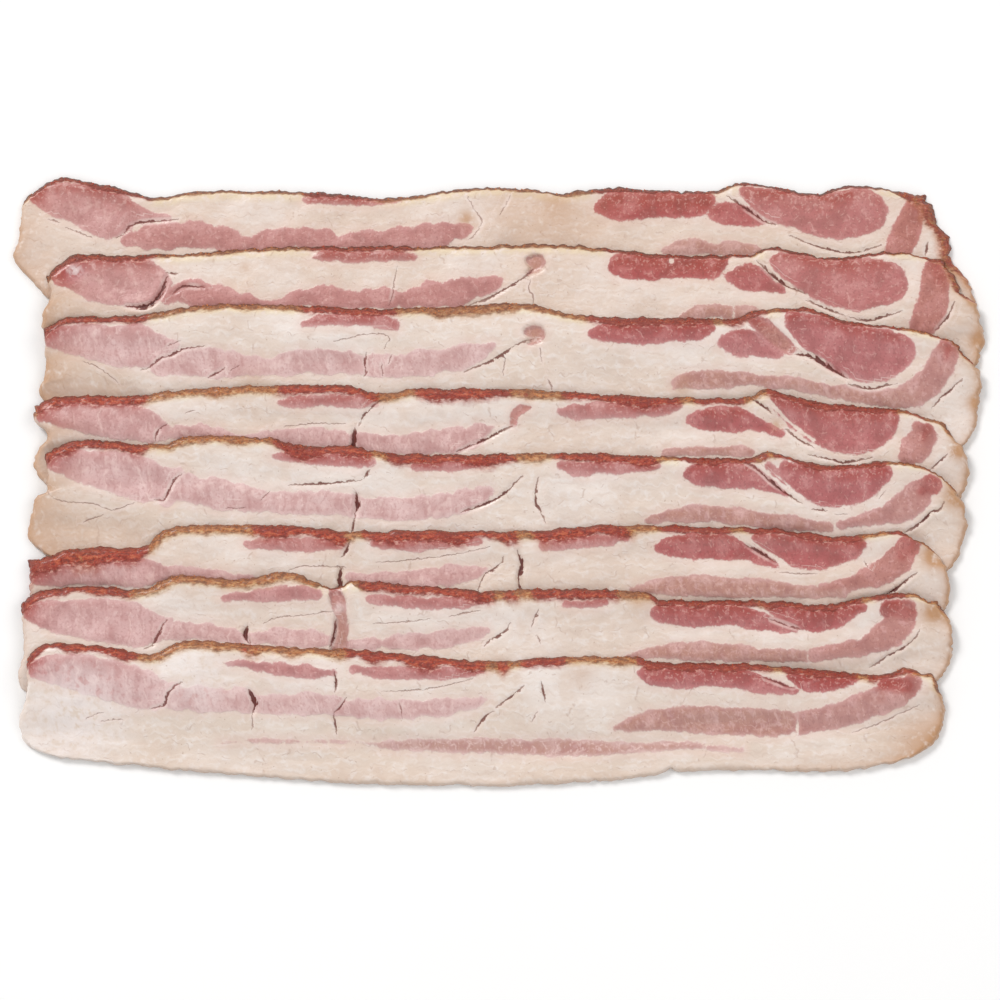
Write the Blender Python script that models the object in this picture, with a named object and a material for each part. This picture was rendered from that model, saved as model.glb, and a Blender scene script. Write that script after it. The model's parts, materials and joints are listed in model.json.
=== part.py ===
"""Sliced bacon: eight long slices laid one on the next like shingles.

The slice at the back lies flat on the table. Every later slice lies with its back half on the
front half of the slice before it, and its front half comes down to the table. Metres, +X along
the slices, +Y to the back, +Z up. The origin is on the table under the middle of the whole lay.
"""

import bmesh
import bpy
import numpy as np

# Driving sizes
SLICE_THICKNESS = 0.0025
RIM_THICKNESS = 0.0017
AIR_GAP = 0.00035
PIXEL = 0.00029
CELLS_ALONG = 40
CELLS_ACROSS = 8

# Outline of each slice in pixels of the photograph, x to the right and y down. The back edge
# runs from left to right, the two ends run from the back edge to the front edge, and each
# first and last point of the back edge is where an end begins.
BACK_EDGES = (
    ((27, 198), (60, 179), (107, 187), (158, 198), (200, 192), (300, 193), (360, 197), (400, 198),
     (470, 189), (520, 189), (560, 194), (610, 189), (705, 192), (745, 184), (814, 195),
     (851, 186), (923, 196)),
    ((47, 276), (77, 257), (132, 257), (203, 254), (250, 250), (340, 248), (450, 248), (540, 246),
     (620, 251), (665, 256), (745, 256), (771, 248), (831, 259), (891, 253), (941, 262)),
    ((46, 330), (72, 318), (137, 317), (200, 307), (260, 306), (360, 310), (430, 309), (525, 306),
     (580, 317), (700, 319), (735, 320), (755, 313), (806, 309), (841, 321), (908, 330),
     (950, 341)),
    ((37, 408), (60, 398), (140, 396), (187, 391), (260, 387), (350, 387), (378, 394), (430, 390),
     (500, 390), (570, 393), (650, 398), (740, 399), (769, 391), (821, 404), (894, 410),
     (940, 423)),
    ((47, 454), (80, 441), (160, 445), (190, 437), (265, 438), (300, 447), (350, 447), (380, 453),
     (440, 456), (570, 454), (650, 457), (742, 459), (769, 453), (821, 465), (905, 463),
     (941, 479)),
    ((30, 562), (80, 549), (143, 547), (165, 531), (210, 526), (300, 527), (348, 532), (420, 531),
     (520, 532), (600, 526), (700, 527), (775, 529), (837, 537), (892, 532), (918, 542)),
    ((22, 606), (43, 591), (100, 587), (143, 590), (180, 576), (240, 580), (290, 572), (330, 588),
     (365, 582), (480, 591), (550, 589), (640, 592), (665, 600), (760, 601), (821, 605),
     (895, 593), (934, 603)),
    ((29, 658), (50, 644), (100, 646), (153, 654), (190, 641), (280, 647), (370, 651), (485, 661),
     (555, 657), (635, 657), (655, 662), (760, 665), (872, 675), (905, 669), (932, 677)),
)
LEFT_ENDS = (
    ((22, 212), (20, 240), (14, 256), (25, 272), (50, 299), (66, 305)),
    ((53, 295), (44, 316), (48, 340), (66, 368)),
    ((46, 345), (46, 378), (40, 389), (50, 410), (66, 428)),
    ((35, 421), (49, 436), (34, 460), (42, 480), (62, 500)),
    ((48, 470), (49, 491), (37, 500), (30, 537), (46, 554), (64, 563)),
    ((31, 585), (31, 610), (36, 640), (52, 664)),
    ((24, 625), (25, 650), (19, 679), (30, 694), (48, 704)),
    ((30, 679), (26, 704), (21, 728), (31, 747), (60, 757)),
)
RIGHT_ENDS = (
    ((933, 210), (936, 224), (949, 238), (953, 265), (974, 295), (969, 309), (948, 318)),
    ((951, 273), (958, 290), (978, 311), (981, 335), (975, 365), (950, 380)),
    ((964, 357), (977, 374), (979, 400), (972, 434), (950, 458)),
    ((950, 435), (966, 457), (966, 482), (958, 500), (938, 510)),
    ((953, 490), (965, 512), (964, 535), (951, 566), (930, 578)),
    ((937, 555), (948, 578), (946, 604), (925, 636)),
    ((946, 617), (952, 641), (945, 669), (925, 690)),
    ((938, 690), (944, 714), (934, 741), (908, 760)),
)
# How far the front edge bows out beyond the straight line between its corners, from left to
# right at even steps. The dip near its right third is the nick in the rim of the front slice.
FRONT_BOW = (0, 7, 14, 19, 24, 26, 27, 24, 19, 11, 10, 11, 0)

# The laying: how finely the heights are kept, and how a slice settles on what lies under it
HEIGHT_CELL = 0.001
SAMPLES_PER_CELL = 8
SETTLING_STEPS = 160
SINK_PER_STEP = 0.0002

NAME = "sliced_bacon"
SLICE_COLOUR = (0.62, 0.33, 0.28, 1.0)
SLICE_ROUGHNESS = 0.45


def smooth_curve(points, count):
    """Even points along a smooth curve through the given ones."""
    points = np.array(points, float)
    padded = np.vstack([2 * points[0] - points[1], points, 2 * points[-1] - points[-2]])
    fine = []
    for a, b, c, d in zip(padded, padded[1:], padded[2:], padded[3:]):
        t = np.linspace(0, 1, 12, endpoint=False)[:, None]
        bend = 2 * a - 5 * b + 4 * c - d
        twist = 3 * b - a - 3 * c + d
        fine.append(0.5 * (2 * b + (c - a) * t + bend * t ** 2 + twist * t ** 3))
    fine = np.vstack(fine + [points[-1:]])
    run = np.append(0, np.cumsum(np.hypot(*np.diff(fine, axis=0).T)))
    even = np.linspace(0, run[-1], count)
    return np.column_stack([np.interp(even, run, fine[:, 0]), np.interp(even, run, fine[:, 1])])


def front_edge(left_corner, right_corner, count):
    """The bowed front edge between the two front corners."""
    part = np.linspace(0, 1, len(FRONT_BOW))
    line = np.outer(1 - part, left_corner) + np.outer(part, right_corner)
    line[:, 1] += FRONT_BOW
    return smooth_curve(line, count)


def slice_plan(index):
    """Places of the grid points of one slice on the table, as rows from front to back."""
    back = smooth_curve(BACK_EDGES[index], CELLS_ALONG + 1)
    left = smooth_curve((BACK_EDGES[index][0],) + LEFT_ENDS[index], CELLS_ACROSS + 1)
    right = smooth_curve((BACK_EDGES[index][-1],) + RIGHT_ENDS[index], CELLS_ACROSS + 1)
    front = front_edge(left[-1], right[-1], CELLS_ALONG + 1)
    u = np.linspace(0, 1, CELLS_ALONG + 1)[None, :, None]
    v = np.linspace(0, 1, CELLS_ACROSS + 1)[:, None, None]
    ruled = (1 - v) * back[None] + v * front[None] + (1 - u) * left[:, None] + u * right[:, None]
    corners = ((1 - v) * ((1 - u) * back[0] + u * back[-1])
               + v * ((1 - u) * front[0] + u * front[-1]))
    return (ruled - corners)[::-1] * (PIXEL, -PIXEL)


def centred(plans):
    """The plans moved so that the middle of their common box is at the origin."""
    points = np.vstack([plan.reshape(-1, 2) for plan in plans])
    middle = (points.min(axis=0) + points.max(axis=0)) / 2
    return [plan - middle for plan in plans]


def triangle_samples():
    """For sample points in every grid cell: the three grid points round each, and their shares.

    Each cell is cut along the diagonal from its first corner to its last.
    """
    steps = (np.arange(SAMPLES_PER_CELL) + 0.5) / SAMPLES_PER_CELL
    a, b, row, column = np.meshgrid(steps, steps, np.arange(CELLS_ACROSS), np.arange(CELLS_ALONG))
    a, b, row, column = a.ravel(), b.ravel(), row.ravel(), column.ravel()
    width = CELLS_ALONG + 1
    first = row * width + column
    last = first + width + 1
    side = np.where(a > b, first + 1, first + width)
    shares = np.column_stack([1 - np.maximum(a, b), np.abs(a - b), np.minimum(a, b)])
    return np.column_stack([first, side, last]), shares


def thickness_plan():
    """Thickness at each grid point: full inside, thinner on the rim."""
    thickness = np.full((CELLS_ACROSS + 1, CELLS_ALONG + 1), RIM_THICKNESS)
    thickness[1:-1, 1:-1] = SLICE_THICKNESS
    return thickness.ravel()


def widest(heights):
    """Each cell raised to the highest of itself and its eight neighbours."""
    padded = np.pad(heights, 1, mode="edge")
    rows, columns = heights.shape
    shifts = [(i, j) for i in range(3) for j in range(3)]
    return np.max([padded[i:i + rows, j:j + columns] for i, j in shifts], axis=0)


class Table:
    """The highest surface laid so far, over square cells of the table."""

    def __init__(self, plans):
        reach = np.abs(np.vstack([plan.reshape(-1, 2) for plan in plans])).max(axis=0)
        self.corner = -reach - 4 * HEIGHT_CELL
        columns, rows = (np.ceil(-2 * self.corner / HEIGHT_CELL)).astype(int)
        self.heights = np.full((rows, columns), -AIR_GAP)

    def cells(self, places):
        column, row = ((places - self.corner) / HEIGHT_CELL).astype(int).T
        return row, column

    def top_near(self, places):
        return widest(self.heights)[self.cells(places)]

    def add(self, places, tops):
        np.maximum.at(self.heights, self.cells(places), tops)


def lay_down(plan, table):
    """Heights of the underside of one slice once it has settled on the table and its slices."""
    nearest, shares = triangle_samples()
    flat_plan = plan.reshape(-1, 2)
    places = (flat_plan[nearest] * shares[:, :, None]).sum(axis=1)
    floor = table.top_near(places) + AIR_GAP
    heights = np.full(len(flat_plan), floor.max())

    def lifted(heights):
        lack = floor - (heights[nearest] * shares).sum(axis=1)
        lift = np.zeros(len(heights))
        for corner in range(3):
            np.maximum.at(lift, nearest[:, corner], lack)
        return heights + lift

    for _ in range(SETTLING_STEPS):
        grid = np.pad(heights.reshape(plan.shape[:2]), 1, mode="edge")
        across = (grid[:-2, 1:-1] + grid[2:, 1:-1]) / 2
        along = (grid[1:-1, :-2] + grid[1:-1, 2:]) / 2
        bent = (2 * grid[1:-1, 1:-1] + across + along) / 4
        heights = lifted(np.maximum(bent.ravel() - SINK_PER_STEP, 0))
    tops = ((heights + thickness_plan())[nearest] * shares).sum(axis=1)
    table.add(places, tops)
    return heights


def slice_material(index):
    material = bpy.data.materials.new(f"bacon slice {index}")
    material.use_nodes = True
    shader = material.node_tree.nodes["Principled BSDF"]
    shader.inputs["Base Color"].default_value = SLICE_COLOUR
    shader.inputs["Roughness"].default_value = SLICE_ROUGHNESS
    return material


def add_slice(index, plan, heights, collection):
    """One slice: a laid sheet of triangles, raised to its thickness."""
    sheet = bmesh.new()
    bmesh.ops.create_grid(sheet, x_segments=CELLS_ALONG, y_segments=CELLS_ACROSS, size=1)
    rise = sheet.verts.layers.float.new("rise")
    for vert, place, height, thickness in zip(sheet.verts, plan.reshape(-1, 2), heights,
                                              thickness_plan()):
        vert.co = (place[0], place[1], height)
        vert[rise] = thickness
    bmesh.ops.triangulate(sheet, faces=sheet.faces[:], quad_method="FIXED")
    raised = bmesh.ops.extrude_face_region(sheet, geom=sheet.faces[:])
    for part in raised["geom"]:
        if isinstance(part, bmesh.types.BMVert):
            part.co.z += part[rise]
    bmesh.ops.recalc_face_normals(sheet, faces=sheet.faces[:])
    mesh = bpy.data.meshes.new(f"slice_{index}")
    sheet.to_mesh(mesh)
    sheet.free()
    mesh.materials.append(slice_material(index))
    collection.objects.link(bpy.data.objects.new(f"slice_{index}", mesh))


def main():
    for obj in list(bpy.data.objects):
        bpy.data.objects.remove(obj)
    collection = bpy.data.collections.new(NAME)
    bpy.context.scene.collection.children.link(collection)
    plans = centred([slice_plan(index) for index in range(len(BACK_EDGES))])
    table = Table(plans)
    for index, plan in enumerate(plans):
        heights = lay_down(plan, table)
        add_slice(index + 1, plan, heights, collection)


main()
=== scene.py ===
"""Finish of the sliced bacon: eight smoked streaky slices, shingled, in metres with +Z up.

Outlines, lean streaks and tears are placed in pixels of the photograph, x to the right and y
down, and PIXEL turns them into metres on the table. Heights come from the loaded model.
"""

import json
from typing import NamedTuple

import bpy
import numpy as np
from bpy.props import FloatProperty, FloatVectorProperty, IntProperty, PointerProperty
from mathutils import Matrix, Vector
from mathutils.bvhtree import BVHTree

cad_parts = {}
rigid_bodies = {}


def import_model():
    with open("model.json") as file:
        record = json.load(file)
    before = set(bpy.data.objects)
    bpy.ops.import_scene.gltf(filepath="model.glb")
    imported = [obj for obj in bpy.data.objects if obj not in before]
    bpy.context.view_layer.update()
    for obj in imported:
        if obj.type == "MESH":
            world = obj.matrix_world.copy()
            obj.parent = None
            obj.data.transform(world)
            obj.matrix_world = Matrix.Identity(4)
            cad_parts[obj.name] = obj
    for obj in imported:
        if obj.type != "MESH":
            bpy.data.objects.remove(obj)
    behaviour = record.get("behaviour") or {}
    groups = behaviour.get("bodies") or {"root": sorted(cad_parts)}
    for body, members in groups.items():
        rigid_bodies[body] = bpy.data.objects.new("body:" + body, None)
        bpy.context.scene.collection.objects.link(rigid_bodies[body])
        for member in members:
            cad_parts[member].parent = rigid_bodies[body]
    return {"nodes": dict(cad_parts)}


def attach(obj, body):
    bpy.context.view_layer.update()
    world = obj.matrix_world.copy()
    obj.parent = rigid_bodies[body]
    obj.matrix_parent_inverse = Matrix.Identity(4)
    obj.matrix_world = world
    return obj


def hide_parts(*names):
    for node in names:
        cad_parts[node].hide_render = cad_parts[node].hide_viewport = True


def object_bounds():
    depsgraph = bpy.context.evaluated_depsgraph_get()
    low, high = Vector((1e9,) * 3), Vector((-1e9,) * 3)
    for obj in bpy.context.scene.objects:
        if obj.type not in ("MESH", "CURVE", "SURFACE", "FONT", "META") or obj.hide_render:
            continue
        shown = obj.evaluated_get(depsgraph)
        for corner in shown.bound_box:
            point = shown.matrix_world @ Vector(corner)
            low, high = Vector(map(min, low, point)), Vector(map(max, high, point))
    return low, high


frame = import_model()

bl_info = {
    "name": "Sliced Bacon",
    "version": (1, 0, 0),
    "blender": (4, 5, 0),
    "location": "3D View > Sidebar > Bacon",
    "description": "Shingled slices of smoked streaky bacon with lean, fat and a smoked edge",
    "category": "Add Mesh",
}

CAD_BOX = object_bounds()

# Scale of the plan and the photograph's frame
PIXEL = 0.00029
PHOTO_CENTRE = (500.0, 500.0)
LENS = 200.0
SENSOR = 36.0
PHOTO_SIDE = 1000

# Grid of a slice: cells of the solid, cells of the fine sheet, and the share near the smoked edge
SOLID_CELLS = (40, 8)
COLUMNS = 520
EDGE_ROWS = 15
INNER_ROWS = 60
EDGE_SHARE = 0.1

# How far the front edge bows out from the straight line between its corners, in pixels
FRONT_BOW = (0, 7, 14, 19, 24, 26, 27, 24, 19, 11, 10, 11, 0)

# Kinds of lean: share of deep red, share of brown, and how deep it lies below the fat in metres. The
# sunk flap and tear are darker and browner than their meat: painted shade.
LEAN_KINDS = {
    "eye": (0.12, 0.0, 0.0),
    "belly": (0.06, 0.1, 0.0),
    "bundle": (0.66, 0.15, 0.0),
    "back": (0.64, 0.1, 0.0),
    "upper": (0.84, 0.0, 0.0),
    "round": (0.76, 0.0, 0.0),
    "loin": (0.74, 0.0, 0.0),
    "band": (0.52, 0.5, 0.0),
    "smoked": (1.2, 0.3, 0.0),
    "low": (0.46, 0.9, 0.0),
    "faint": (0.1, 0.85, 0.0),
    "shaded_flap": (0.8, 0.75, 0.0006),
    "shaded_tear": (0.5, 0.9, 0.0014),
}

# How much of its slice's redness each kind of lean takes on
REDDENING = {"eye": 1.0, "belly": 1.0, "band": 1.0, "upper": 0.45, "round": 0.45, "loin": 0.15}

# How much redder the loin is from one slice to the next, and the eye at the left end
LOIN_DEEPENING = 0.03
EYE_DEEPENING = 0.5
EYE_REACH = 28

# Lobes of the muscle bundles: length, depth by kind, and level of no change
LOBE_LENGTH = 27
LOBE_DEPTHS = {"bundle": 3.2, "belly": 2.1}
LOBE_LEVEL = 0.72

# Depth in a streak, in pixels, from which its tone gains no more over that of its neighbours
FULL_DEPTH = 6
FULL_SMOKED_DEPTH = 11

# Scallops along the edges, as wavelength and height in pixels
SCALLOPS = ((26, 0.8), (9, 0.55), (4.5, 0.35))

# Smoked edge in pixels: how it fades out at the ends, its width over fat, and more over lean
CORNER = 16
CRUST_OVER_FAT = 7.0
CRUST_OVER_LEAN = 2.2

# Stretches over which the smoked edge gets thinner, as start, end and share
THINNER = ((640, 665, 0.3), (850, 880, 0.2))

# Where the right end begins, which is less red and less dark
RIGHT_END = (885, 915)

# Where the tan of the front slice's front edge gets wider and stronger
TAN_WIDER = (740, 900)
TAN_STRONGER = (560, 860)

# Height of the smoked edge and of the other edges, as a share of the thickness
BACK_HEIGHT = 0.36
END_HEIGHT = 0.5

# How often the lift of a sheet is averaged when it is laid on another
SETTLING_PASSES = 10

# Relief in metres
CLING = 0.00028
CRUST_GRAIN = 0.00007
LEAN_SWELL = 0.00009
LEAN_GROOVE = 0.00008
RIM_BULGE = 0.00022
LEAST_THICKNESS = 0.0004


class Cut(NamedTuple):
    """An opening in the surface: half its width in pixels, and its depth in metres."""

    half: float
    depth: float


FINE = Cut(0.45, 0.00012)
CRACK = Cut(1.0, 0.00045)
SLIT = Cut(1.15, 0.0008)
TEAR = Cut(1.9, 0.0013)


class Slice(NamedTuple):
    """Plan of one slice, all in pixels of the photograph.

    lean holds (kind, stations of x, y and half width), and cuts (cut, points). veins are lines of
    fat through lean, as (half width, points); the vein of the third slice and the widest of the
    seventh paint a highlight on a lit raised edge. stains are (x, y, radius, strength), where a
    negative strength is whitish; the whitish spot on the second slice's eye is a painted highlight.
    red are stretches of red edge with no lean behind it, and gold stretches of golden edge in
    front of lean. wide are stretches where the smoked edge is wider, as (start, end, more), and
    nicks are notches in the front edge, as (x, half width, depth).
    crust is the width of the smoked edge as a share of the usual one, tab how tan the left end
    is, wrap how far the smoked edge goes on round the right end, and char how dark it is there.
    """

    back: tuple
    left: tuple
    right: tuple
    redness: float
    crust: float
    lean: tuple
    cuts: tuple
    veins_and_highlights: tuple = ()
    stains_and_highlights: tuple = ()
    red: tuple = ()
    gold: tuple = ()
    wide: tuple = ()
    nicks: tuple = ()
    tab: float = 0.0
    wrap: float = 24.0
    char: float = 0.25


SLICE_1 = Slice(
    back=((27, 198), (60, 179), (107, 187), (158, 198), (200, 192), (300, 193), (360, 197),
          (400, 198), (470, 189), (520, 189), (560, 194), (610, 189), (705, 192), (745, 184),
          (814, 195), (851, 186), (923, 196)),
    left=((22, 212), (20, 240), (14, 256), (25, 272), (50, 299), (66, 305)),
    right=((933, 210), (936, 224), (949, 238), (953, 265), (974, 295), (969, 309), (948, 318)),
    redness=0.40,
    crust=0.36,
    char=0.55,
    tab=0.3,
    lean=(
        ("eye", ((38, 195, 9), (60, 200, 17), (90, 208, 22), (110, 214, 25), (130, 214, 12),
                 (150, 216, 5), (170, 219, 2))),
        ("bundle", ((125, 240, 5), (150, 237, 12), (175, 237, 14), (200, 236, 13), (225, 240, 12),
                   (240, 245, 8), (260, 242, 9), (280, 239, 11), (325, 239, 10), (335, 245, 6),
                   (350, 241, 9), (375, 240, 9), (400, 238, 11), (420, 237, 12), (440, 235, 12),
                   (455, 232, 10), (468, 229, 5))),
        ("back", ((308, 200, 4), (320, 199, 6), (350, 201, 5), (380, 199, 6), (400, 199, 4))),
        ("upper", ((598, 208, 5), (615, 206, 14), (640, 206, 15), (665, 205, 13), (690, 205, 13),
                   (705, 202, 10))),
        ("round", ((716, 213, 8), (728, 214, 12), (742, 216, 11), (752, 219, 7), (762, 222, 3))),
        ("loin", ((745, 192, 6), (760, 200, 12), (780, 206, 18), (800, 211, 20), (820, 215, 22),
                  (840, 215, 24), (858, 213, 24), (868, 213, 20))),
        ("smoked", ((922, 200, 10), (918, 208, 8))),
        ("band", ((920, 200, 11), (910, 220, 13), (903, 240, 14), (895, 254, 12))),
        ("low", ((665, 252, 3), (680, 248, 7), (700, 247, 8), (715, 250, 6), (730, 249, 7),
                 (750, 250, 6), (763, 252, 3))),
    ),
    cuts=(
        (CRACK, ((118, 238), (124, 234), (133, 225), (150, 222), (178, 220))),
        (FINE, ((468, 198), (478, 215), (482, 225), (470, 240))),
        (FINE, ((500, 215), (510, 197))),
        (SLIT, ((728, 197), (750, 212), (765, 222), (775, 225))),
        (CRACK, ((790, 236), (812, 245), (830, 250), (845, 253), (860, 252), (870, 249),
                 (880, 246))),
        (CRACK, ((927, 243), (925, 255))),
        (FINE, ((50, 220), (60, 223))),
        (FINE, ((67, 228), (92, 238))),
    ),
    stains_and_highlights=((466, 219, 8, 0.6), (555, 203, 16, 0.3), (944, 236, 7, 0.9), (950, 266, 9, 0.8),
            (515, 224, 40, 0.25), (575, 226, 36, 0.25)),
    wide=((0, 110, 1), (896, 960, 9)),
    wrap=95.0,
)
SLICE_2 = Slice(
    back=((47, 276), (77, 257), (132, 257), (203, 254), (250, 250), (340, 248), (450, 248),
          (540, 246), (620, 251), (665, 256), (745, 256), (771, 248), (831, 259), (891, 253),
          (941, 262)),
    left=((53, 295), (44, 316), (48, 340), (66, 368)),
    right=((951, 273), (958, 290), (978, 311), (981, 335), (975, 365), (950, 380)),
    redness=0.36,
    crust=0.40,
    char=0.48,
    tab=0.4,
    lean=(
        ("eye", ((52, 272, 8), (70, 275, 14), (90, 278, 20), (100, 280, 23), (120, 281, 25),
                 (140, 283, 25), (155, 285, 18), (163, 282, 10))),
        ("bundle", ((170, 297, 8), (185, 292, 12), (205, 296, 13), (220, 299, 12), (240, 302, 8),
                   (255, 303, 7), (270, 305, 4), (285, 303, 5), (300, 299, 9), (320, 298, 11),
                   (345, 299, 11), (358, 301, 8), (375, 299, 10), (395, 300, 10), (410, 300, 9),
                   (425, 296, 12), (450, 294, 14), (470, 290, 13), (490, 285, 8), (500, 282, 3))),
        ("back", ((315, 258, 3), (330, 256, 7), (350, 257, 7), (380, 257, 6), (400, 257, 6),
                  (415, 258, 3))),
        ("shaded_tear", ((530, 262, 5), (537, 263, 8), (536, 268, 5), (528, 275, 2))),
        ("upper", ((612, 268, 6), (625, 266, 13), (650, 268, 14), (668, 268, 12), (690, 266, 13),
                   (710, 267, 12), (722, 263, 7))),
        ("round", ((732, 277, 7), (746, 278, 14), (758, 280, 12), (765, 285, 9), (780, 290, 5))),
        ("loin", ((778, 262, 9), (800, 272, 17), (825, 281, 22), (850, 285, 26), (872, 284, 25),
                  (886, 283, 21), (892, 285, 16))),
        ("smoked", ((938, 268, 12), (938, 280, 10))),
        ("band", ((935, 272, 14), (932, 300, 16), (925, 320, 15), (918, 330, 12))),
        ("low", ((680, 317, 3), (695, 313, 6), (715, 312, 7), (740, 314, 7), (752, 313, 6))),
    ),
    cuts=(
        (TEAR, ((168, 278), (165, 287), (160, 297), (152, 305), (140, 308), (128, 307))),
        (CRACK, ((168, 273), (178, 275))),
        (SLIT, ((175, 294), (185, 287), (205, 288))),
        (FINE, ((398, 268), (395, 280), (393, 295), (390, 305))),
        (CRACK, ((533, 270), (520, 281), (505, 290), (490, 298), (470, 306))),
        (FINE, ((530, 282), (528, 290), (533, 298), (533, 310))),
        (SLIT, ((757, 262), (765, 270), (775, 279), (785, 286), (803, 294))),
        (CRACK, ((806, 301), (820, 307), (842, 316))),
        (CRACK, ((850, 318), (860, 321), (870, 321), (880, 318), (900, 312))),
        (CRACK, ((952, 303), (948, 315), (940, 325), (935, 330))),
    ),
    veins_and_highlights=((1.5, ((671, 252), (671, 262))), (1.2, ((733, 303), (733, 320))),
           (1.4, ((749, 256), (770, 274), (790, 288)))),
    # the whitish spot at (76, 271) is a painted highlight on the eye
    stains_and_highlights=((76, 271, 9, -0.8), (973, 300, 7, 0.9), (976, 340, 9, 0.6), (246, 268, 5, 0.3),
            (534, 268, 7, 0.6)),
    gold=((505, 570),),
    wide=((0, 120, 1), (925, 985, 4)),
    wrap=60.0,
)
SLICE_3 = Slice(
    back=((46, 330), (72, 318), (137, 317), (200, 307), (260, 306), (360, 310), (430, 309),
          (525, 306), (580, 317), (700, 319), (735, 320), (755, 313), (806, 309), (841, 321),
          (908, 330), (950, 341)),
    left=((46, 345), (46, 378), (40, 389), (50, 410), (66, 428)),
    right=((964, 357), (977, 374), (979, 400), (972, 434), (950, 458)),
    redness=0.06,
    crust=0.62,
    char=0.28,
    tab=0.5,
    lean=(
        ("eye", ((52, 338, 10), (70, 340, 14), (95, 343, 18), (120, 346, 20), (140, 347, 22),
                 (155, 350, 17), (165, 350, 12), (175, 345, 5))),
        ("belly", ((160, 366, 9), (180, 363, 13), (200, 363, 15), (220, 364, 14), (240, 366, 12),
                   (255, 366, 10), (265, 368, 8), (280, 366, 10), (300, 363, 12), (320, 362, 13),
                   (345, 362, 12), (358, 366, 9), (370, 366, 11), (385, 366, 12), (400, 367, 11),
                   (420, 364, 13), (445, 361, 12), (465, 357, 12), (480, 352, 8), (495, 345, 3))),
        ("back", ((305, 324, 3), (320, 321, 5), (345, 320, 6), (375, 321, 6), (395, 326, 6))),
        ("shaded_tear", ((528, 333, 5), (537, 334, 8), (536, 339, 5), (528, 344, 2))),
        ("upper", ((592, 335, 5), (610, 333, 10), (640, 334, 11), (670, 332, 10), (695, 332, 10),
                   (710, 328, 5))),
        ("round", ((724, 342, 7), (740, 343, 14), (752, 342, 12), (760, 346, 12), (775, 352, 7))),
        ("shaded_flap", ((752, 322, 6), (764, 330, 9), (778, 342, 9), (790, 350, 5))),
        ("loin", ((790, 316, 6), (800, 330, 16), (820, 338, 22), (845, 350, 26), (870, 355, 27),
                  (888, 353, 22), (898, 351, 15), (904, 349, 9))),
        ("smoked", ((946, 350, 9), (944, 358, 8))),
        ("band", ((945, 352, 12), (937, 370, 14), (922, 388, 14), (905, 397, 12))),
        ("low", ((675, 385, 4), (690, 380, 9), (715, 380, 9), (740, 380, 8), (760, 381, 6),
                 (790, 384, 6), (815, 388, 6), (840, 393, 7), (865, 398, 7), (890, 399, 9),
                 (910, 396, 12))),
    ),
    cuts=(
        (CRACK, ((143, 370), (150, 368), (158, 362), (163, 358), (172, 356), (180, 352),
                 (187, 349), (205, 347))),
        (FINE, ((170, 346), (180, 342))),
        (CRACK, ((210, 378), (225, 369))),
        (FINE, ((232, 371), (240, 366))),
        (CRACK, ((367, 355), (365, 363), (367, 370), (365, 376))),
        (FINE, ((382, 365), (383, 375))),
        (FINE, ((392, 356), (389, 363))),
        (FINE, ((335, 342), (350, 339), (365, 335), (380, 335), (390, 338), (385, 349))),
        (CRACK, ((533, 340), (520, 344), (505, 353), (490, 362), (475, 368), (465, 372))),
        (FINE, ((505, 360), (503, 375))),
        (FINE, ((540, 350), (542, 362))),
        (FINE, ((548, 380), (552, 390))),
        (FINE, ((85, 362), (100, 368), (112, 377), (118, 382))),
        (TEAR, ((795, 355), (810, 357), (820, 363), (830, 369), (845, 378))),
        (CRACK, ((848, 385), (860, 388), (872, 389), (885, 386), (895, 384))),
        (CRACK, ((960, 380), (950, 390), (940, 398), (932, 408))),
    ),
    # painted highlight: this pale line is the lit raised edge of the loin beside the sunk flap
    veins_and_highlights=((2.2, ((765, 311), (785, 333), (800, 350), (822, 362))),),
    stains_and_highlights=((252, 377, 12, 0.3), (975, 402, 10, 0.7), (681, 386, 8, 0.5), (534, 338, 7, 0.6),
            (75, 387, 30, 0.25), (115, 392, 25, 0.25)),
    wide=((430, 515, 4), (610, 735, 2.5)),
    wrap=42.0,
)
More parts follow.
